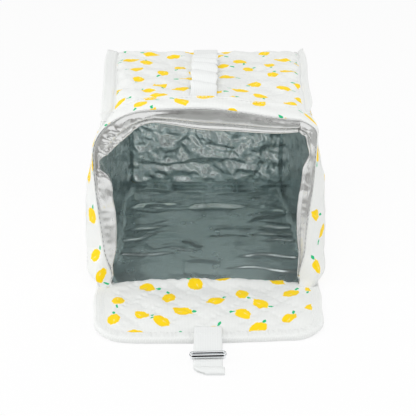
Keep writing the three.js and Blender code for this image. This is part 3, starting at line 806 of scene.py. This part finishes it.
lining = dict(
    flatSteps={"left": 60, "front": 60, "right": 60, "back": 124}, cornerSteps=12, rows=240,
    thickness=0.4, inset=7.0, baseTurn=0.8, seed=89,
    start=1.5, endRows=14, endSpan=16, endGap=0.4, sideCloth=200,
    baseGap=1.0, baseCorner=9, baseSteps=190, baseSlack=3.2, baseCloth=900,
    # how far the film stands in from the gussets at the base, and along the floor nearer the mouth
    slackLeft=6, slackRight=10.5, leftSpan=(165, 212), rightSpan=(60, 205),
    footLeft=6, footRight=4, footStart=(12, 40), footEnd=(70, 190), footHeight=(16, 70), slackSide=(40, 92),
    # smaller folds of each side: how many, spans across and along, heading and its spread, length,
    # height, width and seed; the gussets are tighter, with faint upright streaks
    scatter={
        "left": (22, (-70, 70), (5, 215), 0, 6, 50, 0.8, 9, 93),
        "front": (24, (-80, 80), (5, 215), 20, 45, 30, 2.0, 9, 91),
        "right": (22, (-70, 70), (5, 215), 0, 6, 50, 0.8, 9, 94),
        "back": (24, (-85, 85), (8, 215), 0, 14, 24, 1.5, 9, 89),
    },
    floorFolds=[  # the main folds of the floor, which lie across the bag
        (-8, 161, 0, 38, 5.0, 24, 3.8), (54, 162, -3, 36, 5.0, 22, 3.6), (6, 160, 0, 98, 2.6, 30, 3.0),
        (-73, 152, 24, 26, 4.5, 16, 4), (-35, 190, -5, 42, 3.0, 16, 4),
        (40, 197, 8, 46, 2.6, 14, 4), (0, 182, 4, 52, 1.8, 14, 4), (-80, 112, 6, 30, 2.8, 12, 2.3),
        (-74, 96, 2, 34, 2.6, 12, 2.2), (-78, 84, 3, 26, 2.2, 12, 2.0), (-72, 50, 4, 46, 2.4, 14, 2.8),
        (-60, 24, 8, 44, 2.0, 14, 2.8), (66, 110, -14, 30, 2.6, 12, 2.2), (78, 86, -22, 30, 2.6, 12, 2.2),
        (36, 64, 0, 30, 1.8, 14, 2.0), (72, 53, -5, 46, 2.4, 14, 2.8), (18, 74, 42, 13, 2.4, 9, 2.2),
        (-28, 108, 0, 28, 1.6, 12, 2.0), (-20, 94, 0, 24, 1.4, 12, 2.0), (-26, 104, 88, 58, 1.0, 6, 3),
        (22, 30, 86, 24, 1.0, 6, 3), (-66, 136, -16, 30, 2.6, 14, 4),
    ],
    wallFolds=[  # upright folds of the gussets beside the floor
        (-64, 90, 89, 95, 2.6, 5, 3.0), (-54, 70, 91, 70, 1.6, 6, 3.0), (-40, 120, 90, 70, 1.2, 7, 3.5),
        (-20, 150, 88, 60, 1.2, 8, 4), (10, 130, 92, 70, 1.0, 8, 4),
    ],
    baseCrush=[(44, 2.0, 1), (25, 1.6, 2), (12, 0.9, 3)],  # size and height of the base's facets
    baseFolds=[  # a ledge of slack film low on the base, with rolls under it and facets above
        (-22, 38, 1, 92, 2.8, 16, 5.5), (-34, 26, -2, 38, 3.0, 8, 12), (48, 26, -14, 42, 2.4, 12, 13),
        (32, 46, -42, 30, 2.0, 10, 12), (-50, 54, 24, 30, 1.8, 9, 13), (62, 60, 34, 36, 1.8, 13, 14),
        (0, 66, -8, 44, 1.4, 14, 12), (-64, 72, -34, 28, 1.6, 12, 12), (20, 17, 4, 64, 1.6, 7, 8),
    ],
)


def drawnIn(grid, w):  # slack film hangs away from the gussets towards the base
    p = lining
    x = grid[..., 0]
    slack = np.where(x > 0, -p["slackRight"] * smooth(w, *p["rightSpan"]),
                     p["slackLeft"] * smooth(w, *p["leftSpan"]))
    foot = np.where(x > 0, -p["footRight"], p["footLeft"])
    foot = foot * smooth(w, *p["footStart"]) * fade(w, *p["footEnd"]) * fade(grid[..., 2], *p["footHeight"])
    grid[..., 0] = x + (slack + foot) * smooth(np.abs(x), *p["slackSide"])
    return grid


def makeLiningWrap():
    p, b = lining, bagBody
    end = b["backHeight"] - b["wall"] - p["endGap"]
    bend = end - p["endSpan"]  # from here the rows are closer, as the film turns in at the base
    ws = np.concatenate([np.linspace(p["start"], bend, p["rows"] - p["endRows"]),
                         np.linspace(bend, end, p["endRows"] + 1)[1:]])
    parts, flats = [], []
    for order, (side, scatter) in enumerate(p["scatter"].items()):
        us = sideSteps(p["flatSteps"][side], p["cornerSteps"])
        wholeU, wholeW = np.meshgrid(us if side in ("left", "front") else us[::-1], ws)
        s = acrossLength(shellPoint(side, wholeU, p["inset"], wholeW))[:, :-1]
        u, w = wholeU[:, :-1], wholeW[:, :-1]  # the next side starts at this one's last column
        # the folds die out at the corners, the rim and the base
        inside = fade(np.abs(u), 0.55, 0.98) * smooth(w, 0, 14) * smooth(end - w, 0, 12)
        main = {"back": p["floorFolds"], "front": []}.get(side, p["wallFolds"])
        rise = foldRise(s, w, strewFolds(*scatter)) + foldRise(s, w, main)
        turnIn = p["baseTurn"] * smooth(w, end - 5, end + 1) ** 2
        inset = p["inset"] + rise * inside + turnIn + frontSag(side, u, w)
        parts.append(drawnIn(shellPoint(side, u, inset, w), w))
        flats.append(np.stack([s + order * p["sideCloth"], w], -1))
    grid, flat = np.concatenate(parts, 1), np.concatenate(flats, 1)
    piece = sheetPiece("lining_wrap_film", grid, p["thickness"], shadedFilm, flat, closed=True)
    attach(piece, "bag")
    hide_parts("front_lining", "back_lining", "left_lining", "right_lining")


def makeLiningBase():
    p, b = lining, bagBody
    edgeIn = p["inset"] + p["baseTurn"] * 0.4
    half = b["baseWidth"] / 2 - edgeIn
    x, z, edge = roundedGrid(half, edgeIn, b["baseDepth"] - edgeIn, p["baseCorner"], p["baseSteps"])
    rise = foldRise(x, z, p["baseFolds"]) + p["baseSlack"]
    for pitch, high, seed in p["baseCrush"]:
        rise = rise + high * crushed(x, z, pitch, p["seed"] + seed)
    rise = eased(np.maximum(rise, 0), 1)
    y = b["backHeight"] / 2 - b["wall"] - p["baseGap"] - rise * mix(0.25, 1, smooth(edge, 0, 4))
    grid = drawnIn(np.stack([x, y, z], -1), b["backHeight"])
    piece = sheetPiece("lining_base_film", grid, p["thickness"], shadedFilm,
                       np.stack([x + p["baseCloth"], z], -1))
    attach(piece, "bag")
    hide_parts("base_lining")


makeLiningWrap()
makeLiningBase()
print("lining made")

# Corner seams: each pair of panels is bound in a flat tape that stands out as a flange
flange = dict(
    width={-1: 11, 1: 6.5}, over={-1: 2, 1: 4}, backWidth=9, thick=2.6, rows=90, gap=0.3, bandGap=0.4,
    # how steeply the tape stands, degrees, and the spans over which it wobbles or curls
    liftBase=15, liftMouth=-10, liftBack=-12, wobble=4, wobblePitch=23, wobbleSpan=(30, 90),
    curl={("front", 1): 24}, curlSpan=(165, 230),  # this end is turned up
    start={("front", -1): 6},  # and this one laps over the band
    overThick=0.9, underInset=0.6,  # the tape's inner side lies over the panel's edge
    bandThick=1.9, bandEnd=(24, 31), tableGap=0.15,
    stitchRows=(0.22, 0.5, 0.78), stitch=(2.6, 1.0, 0.22),
    cloth=(2600, 10), seed=144,
)


def flangeSection(width, thick, count=9):  # flat oval, from the seam outwards
    across = np.linspace(0, width, count)
    half = thick / 2 * np.sqrt(np.clip(1 - ((across - width * 0.5) / (width * 0.56)) ** 4, 0.05, 1))
    channel = 1 - 0.16 * np.cos(across / width * 6 * math.pi)  # rows of stitching press it flat
    upper = np.stack([across, half * channel], 1)
    lower = np.stack([across[::-1], -half[::-1] * channel[::-1]], 1)
    return np.concatenate([upper, lower])


def makeFlange(side, hand):
    p, b = flange, bagBody
    start = p["start"].get((side, hand), b["bandWidth"] + p["bandGap"])
    ws = np.linspace(start, b["backHeight"], p["rows"])
    onBand = p["bandThick"] * fade(ws, *p["bandEnd"])
    seat = shellPoint(side, hand, -p["gap"] - p["thick"] / 2 - onBand, ws)
    share = ws / b["backHeight"]
    lift = mix(p["liftMouth"], p["liftBase"], share) if side == "front" else np.full_like(ws, p["liftBack"])
    draw = np.random.default_rng(p["seed"] + hand)
    wobble = np.sin(ws / p["wobblePitch"] + draw.uniform(0, 6))
    lift = lift + p["wobble"] * wobble * smooth(ws, *p["wobbleSpan"])
    lift = np.radians(lift + p["curl"].get((side, hand), 0) * smooth(ws, *p["curlSpan"]))
    reach = np.stack([hand * np.cos(lift), np.zeros_like(ws), np.sin(lift)], 1)
    up = np.stack([-hand * np.sin(lift), np.zeros_like(ws), np.cos(lift)], 1)
    wide = p["width"][hand] if side == "front" else p["backWidth"]
    section = flangeSection(wide, p["thick"])
    full = mix(0.35, 1, smooth(ws, start - 4, start + 30))[:, None, None]  # narrows into the band
    rings = (seat[:, None] + full * (section[None, :, :1] * reach[:, None]
                                     + section[None, :, 1:] * up[:, None]))
    across = section[:, 0]
    if side == "back":
        rings[..., 2] = np.maximum(rings[..., 2], p["tableGap"])  # lies on the table
    else:  # its inner half lies on the panel's edge
        inFrom = p["over"][hand] * np.array([1, 0.92, 0.75, 0.5, 0.3, 0.1])
        corner = mix(b["tightCorner"] if hand > 0 else b["mouthCorner"], b["baseCorner"],
                     1 - (1 - share[:, None]) ** 2)
        over = hand * (1 - inFrom / (corner * math.pi / 2))
        lap = p["overThick"] * smooth(1 - inFrom / inFrom[0], 0, 0.5)  # its edge thins out
        top = shellPoint(side, over, -onBand[:, None] - lap, ws[:, None])
        under = shellPoint(side, over[:, ::-1], p["underInset"], ws[:, None])
        rings = np.concatenate([top, rings, under], 1)
        across = np.concatenate([-inFrom, across, -inFrom[::-1]])
    flat = np.stack(np.broadcast_arrays(across, ws[:, None]), -1) + p["cloth"]
    handName = "left" if hand < 0 else "right"
    piece = sweepPiece(f"{side}_{handName}_flange_tape", rings, tapeCotton, flat)
    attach(piece, "bag")
    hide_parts(f"{side}_{handName}_flange")
    for row, inFrom in enumerate(wide * np.array(p["stitchRows"]) if side == "front" else ()):
        route = seat + full[:, 0] * (reach * inFrom + up * p["thick"] * 0.5)
        sewn = stitchRow(f"{side}_{handName}_flange_stitch_{row}", route, up, whiteThread, *p["stitch"])
        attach(sewn, "bag")


for sideName in ("front", "back"):
    for handSign in (-1, 1):
        makeFlange(sideName, handSign)
print("corner seams made")

# Webbing: flat woven strap with rounded selvedges
webbingSize = dict(width=25, thick=1.5)


def webbingSection(width, thick, count=15):
    across = np.linspace(-width / 2, width / 2, count)
    half = thick / 2 * np.clip(1 - (np.abs(across) / (width / 2)) ** 14, 0.25, 1)
    return np.concatenate([np.stack([across, half], 1), np.stack([across[::-1], -half[::-1]], 1)])


def webbingPiece(name, path, up, rise=None, edges=None):
    # path: middle line; up: the strap's upper side; rise: height for a place along and across, mm;
    # edges: x of the left and right edge in each row
    shape = webbingSection(**webbingSize)
    half = webbingSize["width"] / 2
    left, right = (-half, half) if edges is None else edges.T[:, :, None]
    sideways = mix(left, right, shape[None, :, 0] / (2 * half) + 0.5) * np.ones((len(path), 1))
    height = shape[None, :, 1] + (0 if rise is None else rise(shape[None, :, 0]))
    rings = path[:, None] + height[..., None] * up[:, None]
    rings[..., 0] += sideways
    flat = np.stack(np.broadcast_arrays(shape[:, 0], runLength(path)[:, None]), -1)
    return sweepPiece(name, rings, webbing, flat)


frontStrap = dict(
    slack=6, tack=12, ripple=3.2, pleat=26, slant=0.5, sway=0.9, rows=210, shiftMouth=4.6, shiftBase=2.4,
    gap=0.3, endGap=0.5, looseFrom=0.25,
)


def makeFrontStrap():
    p, b = frontStrap, bagBody
    start = b["bandWidth"] + p["gap"]
    ws = np.linspace(start, b["backHeight"] - p["endGap"], p["rows"])
    share = np.clip((ws - start - p["tack"]) / (b["backHeight"] - start - 2 * p["tack"]), 0, 1)
    free = np.sin(math.pi * share) ** 2
    loose = smooth(free, 0, p["looseFrom"])
    path = shellPoint("front", 0, -p["gap"] - webbingSize["thick"] / 2 - p["slack"] * free, ws)
    path[:, 0] -= mix(p["shiftMouth"], p["shiftBase"], ws / b["backHeight"])
    up = np.cross([1.0, 0, 0], unit(np.gradient(path, axis=0)))
    path[:, 0] += p["sway"] * np.sin(2 * math.pi * ws / p["pleat"] + 1) * loose

    def pleats(x):  # the slack gathers in slanting pleats
        run = ws[:, None] + p["slant"] * x
        fold = np.abs(np.sin(math.pi * run / p["pleat"] + 0.8 * np.sin(run / 31)))
        return p["ripple"] * fold * loose[:, None]

    piece = webbingPiece("front_strap_webbing", path, up, pleats)
    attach(piece, "bag")
    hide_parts("front_strap")


makeFrontStrap()

# Flap: a thin quilted pad that runs on from the back panel, with its free edges bound
flap = dict(
    start=-118.5, width=210, length=94, corner=28, arch=3.5, low=1.1, top=5.6, puff=0.95,
    lip=9, lipRise=4.6, rows=110, cols=120, cloth=(3050, 20), seed=233,
    padInset=1.2, quiltLevel=0.5, quiltEdge=(9, 22), tuck=1.6, tuckSpan=3.5, lipHalf=97, lipDrop=2.4,
    cornerRows=34, leastThick=0.6,
    bindStart=-27.5, bindWidth=10, bindThick=0.9, bindTop=6.3, bindFall=0.55, bindFallSpan=(4, 9.4),
    bindRows=(2.4, 4.6, 6.8, 9.0), bindStitch=(2.6, 1.1, 0.24), bindPucker=0.07,
    bindThin=0.45, bindThinSpan=(-18, 4), bindCloth=(3400, 5), bindSeed=377,
    pullRight=7, pullLeft=4.5, waver=0.7, taperLeft=2.4, taperRight=1.6,  # the free edges are sewn askew
)


def flapArch(s):
    return flap["arch"] * np.sin(math.pi * np.clip(s / flap["length"], 0, 1))


def flapHalf(s, inset):  # half width at a distance from the hinge
    corner = flap["corner"]
    past = np.clip(s - (flap["length"] - corner), 0, corner - inset)
    return flap["width"] / 2 - corner + np.sqrt(np.maximum((corner - inset) ** 2 - past**2, 0))


def lipRise(x, s):  # the fold at the mouth stands up in the middle
    middle = np.clip(1 - (np.abs(x) / flap["lipHalf"]) ** 2.4, 0, 1)
    rise = flap["lipRise"] * middle * bell(s, -3.0, 8.0)
    return rise - flap["lipDrop"] * (1 - middle) * smooth(-s, -8, 3)


def askew(points):  # the front edge runs up to the right, and the sides waver
    p = flap
    x, s = points[..., 0], p["start"] - points[..., 1]
    pull = p["pullRight"] * np.clip((x - 5) / 100, 0, 1) + p["pullLeft"] * smooth(-x, 60, 105)
    points[..., 1] += pull * smooth(s, 20, p["length"])
    out = p["waver"] * np.sin(s / 11 + x / 150) * smooth(s, 4, 24)
    out = out - np.where(x > 0, p["taperRight"], p["taperLeft"]) * smooth(s, 20, 75)
    points[..., 0] += np.sign(x) * out * smooth(np.abs(x), 60, 100)
    return points


def makeFlapPad():
    p = flap
    inset = p["padInset"]
    bendStart = p["length"] - p["corner"]
    straight = np.linspace(-p["lip"], bendStart, p["rows"] - p["cornerRows"])
    bend = np.sin(np.linspace(0, math.pi / 2, p["cornerRows"] + 1)[1:])
    ss = np.concatenate([straight, bendStart + (p["corner"] - inset) * bend])
    share = np.linspace(-1, 1, p["cols"])
    half = flapHalf(ss, inset)
    x, s = share[None, :] * half[:, None], np.repeat(ss[:, None], p["cols"], 1)
    edge = np.minimum((1 - np.abs(share[None, :])) * half[:, None], p["length"] - inset - s)
    pressed = smooth(edge, *p["quiltEdge"])
    rise = (quiltedRise(x, s, p["seed"]) - p["quiltLevel"]) * p["puff"] * pressed
    tuck = p["tuck"] * smooth(-s, p["lip"] - p["tuckSpan"], p["lip"])  # the sewn edge dips to the lining
    top = p["top"] + flapArch(s) + rise + lipRise(x, s) - tuck
    low = p["low"] + flapArch(s)
    y = p["start"] - s
    flat = np.stack([x, s], -1) + p["cloth"]
    outer = askew(np.stack([x, y, np.maximum(top, low + p["leastThick"])], -1))
    inner = askew(np.stack([x, y, low], -1))
    piece = slabPiece("flap_pad", outer, inner, printCotton, flat)
    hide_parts("flap_outer_cloth", "flap_wadding", "flap_inner_cloth")
    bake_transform(piece)


def bindingRoute():  # outline of the flap's free edges: place on the straight, and turn round a corner
    p = flap
    straight = np.linspace(p["bindStart"], p["length"] - p["corner"], 54)
    turns = np.linspace(0, math.pi / 2, 22)[1:]
    left = [(-1, s, 0.0) for s in straight] + [(-1, straight[-1], a) for a in turns]
    front = [(k, straight[-1], math.pi / 2) for k in np.linspace(-1, 1, 90)[1:-1]]
    return left + front + [(-hand, s, a) for hand, s, a in left[::-1]]


def bindingPoint(stop, inset, height):  # a point set in from the flap's edge
    p = flap
    hand, s, angle = stop
    radius = p["corner"] - inset
    x = hand * (p["width"] / 2 - p["corner"]) + math.copysign(1, hand) * radius * math.cos(angle)
    out = s + radius * math.sin(angle)
    height = height * mix(p["bindThin"], 1, float(smooth(out, *p["bindThinSpan"])))  # thinner beside the bag
    return np.array([x, p["start"] - out, height + float(flapArch(np.array(out)))])


def bindingTop(inset):  # the tape falls a little towards its inner edge
    return flap["bindTop"] - flap["bindFall"] * float(smooth(inset, *flap["bindFallSpan"]))


def makeFlapBinding():
    p = flap
    thick, top, wide = p["bindThick"], p["bindTop"], p["bindWidth"]
    # inset and height, from the inner edge over the top and round under the flap
    section = [(wide, top - thick - 0.4), (wide + 0.4, top - 0.85), (wide - 0.6, top - 0.62)]
    section += [(k, bindingTop(k) + 0.06 * math.cos(k * 2 * math.pi / 2.4))
                for k in np.linspace(wide - 1.4, 2.4, 14)]
    section += [(top / 2 * (1 - math.cos(a)) * 0.7, top / 2 + top / 2 * math.sin(a))
                for a in np.linspace(math.pi / 2.4, -math.pi / 2.4, 9)]
    section += [(3.0, 0.05), (wide - 1, 0.05), (wide, 0.4), (wide, thick), (2.0, thick + 0.2),
                (1.6, top / 2), (2.0, top - thick - 0.2)]
    route = bindingRoute()
    shift = np.random.default_rng(p["bindSeed"]).uniform(0, 6)
    rings, flats = [], []
    for stop, far in zip(route, runLength([bindingPoint(stop, 0, 0) for stop in route])):
        pucker = math.sin(far * 2 * math.pi / 7.3 + shift) + math.sin(far * 2 * math.pi / 17)
        pucker *= p["bindPucker"]
        rings.append([bindingPoint(stop, i, max(h + (pucker if h > 3 else 0), 0.05)) for i, h in section])
        flats.append([(i, far) for i, _ in section])
    flat = np.array(flats) + p["bindCloth"]
    piece = sweepPiece("flap_binding_tape", askew(np.array(rings)), tapeCotton, flat)
    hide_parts("flap_binding")
    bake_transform(piece)
    for row, inFrom in enumerate(p["bindRows"]):
        high = bindingTop(inFrom) + 0.05
        seam = askew(np.array([bindingPoint(stop, inFrom, high) for stop in route]))
        up = np.repeat([[0.0, 0, 1]], len(seam), 0)
        sewn = stitchRow(f"flap_binding_stitch_{row}", seam, up, whiteThread, *p["bindStitch"])
        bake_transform(sewn)


makeFlapPad()
makeFlapBinding()
print("flap made")

# Closing strap: sewn on the flap, then free, with a folded hem at its end
closing = dict(
    anchor=14, reach=48, droop=8, lift=8.6, foldGap=1.5, bendStart=2.0, bendEnd=5.0,
    hem=7.5, hemPuff=0.9, hemGap=0.1, tipGap=0.2, tipRound=0.8, hemSpread=0.3,
    cutRound=9, cutIn=13, spread=1.4, spreadSpan=(6.5, 8.5),
    stitchHalf=10.5, tackIn=4.5, hemSeam=1.8, stitch=(2.4, 0.9, 0.25),
)
strapOrigin = np.array([0, flap["start"] - flap["length"], closing["lift"]])


def strapPoint(x, y, z):  # from the strap's own frame, whose origin is the fold on its upper face
    droop = math.radians(closing["droop"])
    x, y, z = np.broadcast_arrays(*(np.asarray(v, float) for v in (x, y, z)))
    return np.stack([x, y * math.cos(droop) - z * math.sin(droop),
                     y * math.sin(droop) + z * math.cos(droop)], -1) + strapOrigin


def tailEdges(away):  # the end is cut round on the left, and its hem spreads on the right
    p = closing
    toTip = np.clip(p["reach"] - away, 0, None)
    half = webbingSize["width"] / 2
    left = -half + p["cutIn"] * (1 - np.sqrt(1 - np.clip(1 - toTip / p["cutRound"], 0, 1) ** 2))
    return np.stack([left, half + p["spread"] * fade(toTip, *p["spreadSpan"])], -1)


def hemRise(away):  # the folded hem puffs up between its ends
    p = closing
    return p["hemPuff"] * np.sin(math.pi * (away - p["reach"] + p["hem"]) / p["hem"])


def makeClosingStrap():
    p = closing
    thick = webbingSize["thick"]
    onFlap = np.linspace(flap["length"] - p["anchor"], flap["length"] - p["foldGap"], 20)
    sewn = np.stack([0 * onFlap, flap["start"] - onFlap, p["lift"] - thick / 2 + flapArch(onFlap)], 1)
    away = np.linspace(p["foldGap"], p["reach"], 110)
    path = np.concatenate([sewn, strapPoint(0, -away, -thick / 2)])
    up = np.cross(unit(np.gradient(path, axis=0)), [1.0, 0, 0])
    up *= np.sign(up[:, 2:])
    edges = tailEdges(np.concatenate([0 * onFlap, away]))
    piece = webbingPiece("closing_strap_webbing", path, up, None, edges)
    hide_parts("strap_anchor", "closing_strap")
    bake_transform(piece)


def makeStrapHem():  # the end folded back on the upper face, with a round fold at the tip
    p = closing
    rest, tip = webbingSize["thick"] / 2 + p["hemGap"], p["reach"] - p["tipGap"]
    run = np.linspace(p["reach"] - p["hem"], tip, 26)
    fold = np.linspace(0, math.pi, 9)[1:-1]
    path = np.concatenate([strapPoint(0, -run, rest + hemRise(run)),
                           strapPoint(0, -tip - p["tipRound"] * np.sin(fold), rest * np.cos(fold))])
    up = np.repeat([strapPoint(0, 0, 1) - strapOrigin], len(path), 0)
    edges = tailEdges(np.concatenate([run, tip + 0 * fold])) + (-p["hemSpread"], p["hemSpread"])
    hem = webbingPiece("closing_strap_hem", path, up, None, edges)
    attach(hem, "strap")


def sewAcross(name, body, seam, up):  # a row of stitches across the strap
    sewn = stitchRow(name, seam, np.repeat([up], len(seam), 0), whiteThread, *closing["stitch"])
    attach(sewn, body)


def makeStrapStitches():
    p = closing
    xs = np.linspace(-p["stitchHalf"], p["stitchHalf"], 24)
    at = flap["length"] - p["tackIn"]
    high = p["lift"] + float(flapArch(np.array(at)))
    tack = np.stack([xs, np.full_like(xs, flap["start"] - at), np.full_like(xs, high)], 1)
    sewAcross("closing_strap_tack", "flap", tack, [0.0, 0, 1])
    at = p["reach"] - p["hem"] + p["hemSeam"]
    seam = strapPoint(xs, -at, webbingSize["thick"] + p["hemGap"] + hemRise(at))
    sewAcross("closing_strap_hem_stitch", "strap", seam, strapPoint(0, 0, 1) - strapOrigin)


makeClosingStrap()
makeStrapHem()
makeStrapStitches()

# Slide: a bent wire frame over the strap and a thinner bar under it, joined at the ends
slide = dict(
    place=25.9, length=7.4, wire=3.5, clearance=0.2, barWire=2.0, barBend=2, strapGap=0.3, askew=2.0,
)


def slidePoint(points):  # the slide sits a little askew on the strap
    turn = math.radians(slide["askew"])
    x = points[:, 0] * math.cos(turn) - points[:, 1] * math.sin(turn)
    y = points[:, 0] * math.sin(turn) + points[:, 1] * math.cos(turn)
    return strapPoint(x, y - slide["place"], points[:, 2])


def slideWire(name, node, path, wire, sides, closed=False):
    rings = tubeRings(slidePoint(path), wire / 2, sides, closed)
    flat = np.stack(np.meshgrid(np.arange(float(sides)), np.arange(len(path)) * 0.5), -1)
    piece = sweepPiece(name, rings, chrome, flat, closed)
    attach(piece, "slide")
    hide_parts(node)


def makeSlide():
    p = slide
    radius = p["wire"] / 2
    side = webbingSize["width"] / 2 + p["clearance"] + radius
    bend = p["length"] / 2 - radius  # the ends are half rounds
    height = p["strapGap"] + radius
    half = np.linspace(-math.pi / 2, math.pi / 2, 26)
    right = np.stack([side - bend + bend * np.cos(half), bend * np.sin(half), 0 * half + height], 1)
    across = np.linspace(side - bend, bend - side, 30)[1:-1]
    back = np.stack([across, 0 * across + bend, 0 * across + height], 1)
    route = np.concatenate([right, back, right * (-1, -1, 1), back * (-1, -1, 1)])
    slideWire("slide_frame_wire", "slide_frame", route, p["wire"], 18, closed=True)
    low = -webbingSize["thick"] - p["strapGap"] - p["barWire"] / 2
    bend = p["barBend"]
    turn = np.linspace(0, math.pi / 2, 10)
    end = np.stack([side - bend + bend * np.sin(turn), 0 * turn, low + bend - bend * np.cos(turn)], 1)
    end = np.concatenate([end, [[side, 0, height - radius]]])
    middle = np.linspace(bend - side, side - bend, 30)[1:-1]
    middle = np.stack([middle, 0 * middle, 0 * middle + low], 1)
    route = np.concatenate([end[::-1] * (-1, 1, 1), middle, end])
    slideWire("slide_bar_wire", "slide_bar", route, p["barWire"], 14)


makeSlide()
print("straps and slide made")


# Seams of the rim and hem, sewn through
rimStitches = {  # inset, distance from the mouth, thread, and the stitch's length, gap and radius
    "rim_seam_stitch": (2.1, -2.85, seamShadeThread, (3.4, 1.2, 0.24)),
    "band_hem_stitch": (-2.0, 22.6, whiteThread, (2.6, 1.1, 0.26)),
}


def makeRimStitches():
    shape = (1, len(rimFar))
    for name, (inset, w, colour, stitch) in rimStitches.items():
        onRim = w < 0
        insets = np.full(shape, inset) + onRim * mouthBand["endClose"] * rimEnds(rimFar)
        away = np.full(shape, w)
        seam = rimGrid(rimPath, insets, away)[0]
        out = unit(rimGrid(rimPath, insets - (not onRim), away - onRim)[0] - seam)
        sewn = stitchRow(name, seam, out, colour, *stitch)
        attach(sewn, "bag")


makeRimStitches()
print("stitching made")

# Stage: white floor and world, soft light from above
studio = dict(
    floorHalf=4.0, paper="#F2F2F2", floorGlow=0.9, skyLight=0.46,
    softboxes={  # place, aim, size and watts
        "top softbox": ((-0.15, -0.25, 1.7), (0, -0.1, 0.05), 1.4, 13.4),
        "front softbox": ((0, -1.0, 0.6), (0, -0.16, 0.01), 1.0, 1.3),
        "left softbox": ((-1.5, -0.5, 0.5), (0, 0, 0.08), 1.0, 8.5),
        "right softbox": ((1.5, -0.5, 0.5), (0, 0, 0.08), 1.0, 6.5),
    },
)


def seenRays(tree):  # 1 where the camera, a mirror or a clear piece sees the backdrop
    rays = addNode(tree, "LightPath").outputs
    seen = addNode(tree, "Math", {0: rays["Is Camera Ray"], 1: rays["Is Glossy Ray"]}, operation="MAXIMUM")
    return addNode(tree, "Math", {0: seen, 1: rays["Is Transmission Ray"]}, operation="MAXIMUM")


def makeFloor():
    size = studio["floorHalf"]
    mesh = bpy.data.meshes.new("floor")
    corners = [(-size, -size, 0), (size, -size, 0), (size, size, 0), (-size, size, 0)]
    mesh.from_pydata(corners, [], [(0, 1, 2, 3)])
    floor = bpy.data.objects.new("floor", mesh)
    scene.collection.objects.link(floor)
    material = bpy.data.materials.new("white paper sweep")
    material.use_nodes = True
    tree = material.node_tree
    tree.nodes.clear()
    paper = addNode(tree, "BsdfDiffuse", {"Color": toLinear(studio["paper"])})
    glow = addNode(tree, "Emission", {"Color": (1, 1, 1, 1), "Strength": 1.0})
    share = addNode(tree, "Math", {0: seenRays(tree), 1: studio["floorGlow"]}, operation="MULTIPLY")
    both = addNode(tree, "MixShader", {0: share, 1: paper, 2: glow})
    addNode(tree, "OutputMaterial", {"Surface": both})
    mesh.materials.append(material)


def makeWorld():
    world = bpy.data.worlds.new("white studio")
    scene.world = world
    world.use_nodes = True
    tree = world.node_tree
    tree.nodes.clear()
    level = addNode(tree, "MapRange", {"Value": seenRays(tree), "To Min": studio["skyLight"], "To Max": 1.0})
    sky = addNode(tree, "Background", {"Color": (1, 1, 1, 1), "Strength": level.outputs["Result"]})
    addNode(tree, "OutputWorld", {"Surface": sky})


def addSoftbox(name, place, aim, size, watts):
    lamp = bpy.data.lights.new(name, "AREA")
    lamp.energy, lamp.size = watts, size
    box = bpy.data.objects.new(name, lamp)
    box.location = place
    box.rotation_euler = (Vector(aim) - Vector(place)).to_track_quat("-Z", "Y").to_euler()
    scene.collection.objects.link(box)
    box.visible_glossy = False


makeFloor()
makeWorld()
for boxName, settings in studio["softboxes"].items():
    addSoftbox(boxName, *settings)
scene.view_settings.view_transform = "Standard"


# Cards out of sight, only for the film and chrome to mirror as they would a dim room
def addCard(name, colour, corners):
    mesh = bpy.data.meshes.new(name)
    mesh.from_pydata(corners, [], [(0, 1, 2, 3)])
    card = bpy.data.objects.new(name, mesh)
    scene.collection.objects.link(card)
    material = bpy.data.materials.new(name)
    material.use_nodes = True
    felt = material.node_tree.nodes["Principled BSDF"]
    felt.inputs["Base Color"].default_value = toLinear(colour)
    felt.inputs["Roughness"].default_value = 1.0
    mesh.materials.append(material)
    card.visible_camera = card.visible_diffuse = card.visible_shadow = False


def crossCard(name, colour, half, near, far):  # across the bag, from one (y, z) edge to the other
    addCard(name, colour, [(-half, *near), (half, *near), (half, *far), (-half, *far)])


def sideCard(name, colour, x, span, top):  # upright beside the bag
    addCard(name, colour, [(x, span[0], 0.002), (x, span[1], 0.002), (x, span[1], top), (x, span[0], top)])


crossCard("pale felt card", "#DEDFDE", 0.6, (-0.45, 0.004), (-1.58, 0.004))
crossCard("grey felt card", "#B2B3B1", 0.55, (-1.6, 0.004), (-1.6, 0.62))
crossCard("dark felt card", "#3A3430", 0.3, (-1.9, 0.55), (-1.9, 1.15))
crossCard("black felt strip", "#050506", 0.022, (-0.252, 0.004), (-0.252, 0.056))
sideCard("left felt card", "#A6A5A3", -0.4, (-1.0, 0.1), 0.35)
sideCard("right felt card", "#C0C0BF", 0.4, (-1.0, 0.1), 0.35)

# Camera at the photograph's place, worked out for a 416 by 416 picture
camera = dict(place=(0, -1.074, 0.5543), pitch=-26.07, lens=100.98)
eye = bpy.data.objects.new("camera", bpy.data.cameras.new("camera"))
eye.data.lens = camera["lens"]
eye.data.sensor_width = 36
eye.location = camera["place"]
eye.rotation_euler = (math.radians(90 + camera["pitch"]), 0, 0)
scene.collection.objects.link(eye)
scene.camera = eye
print("stage made")
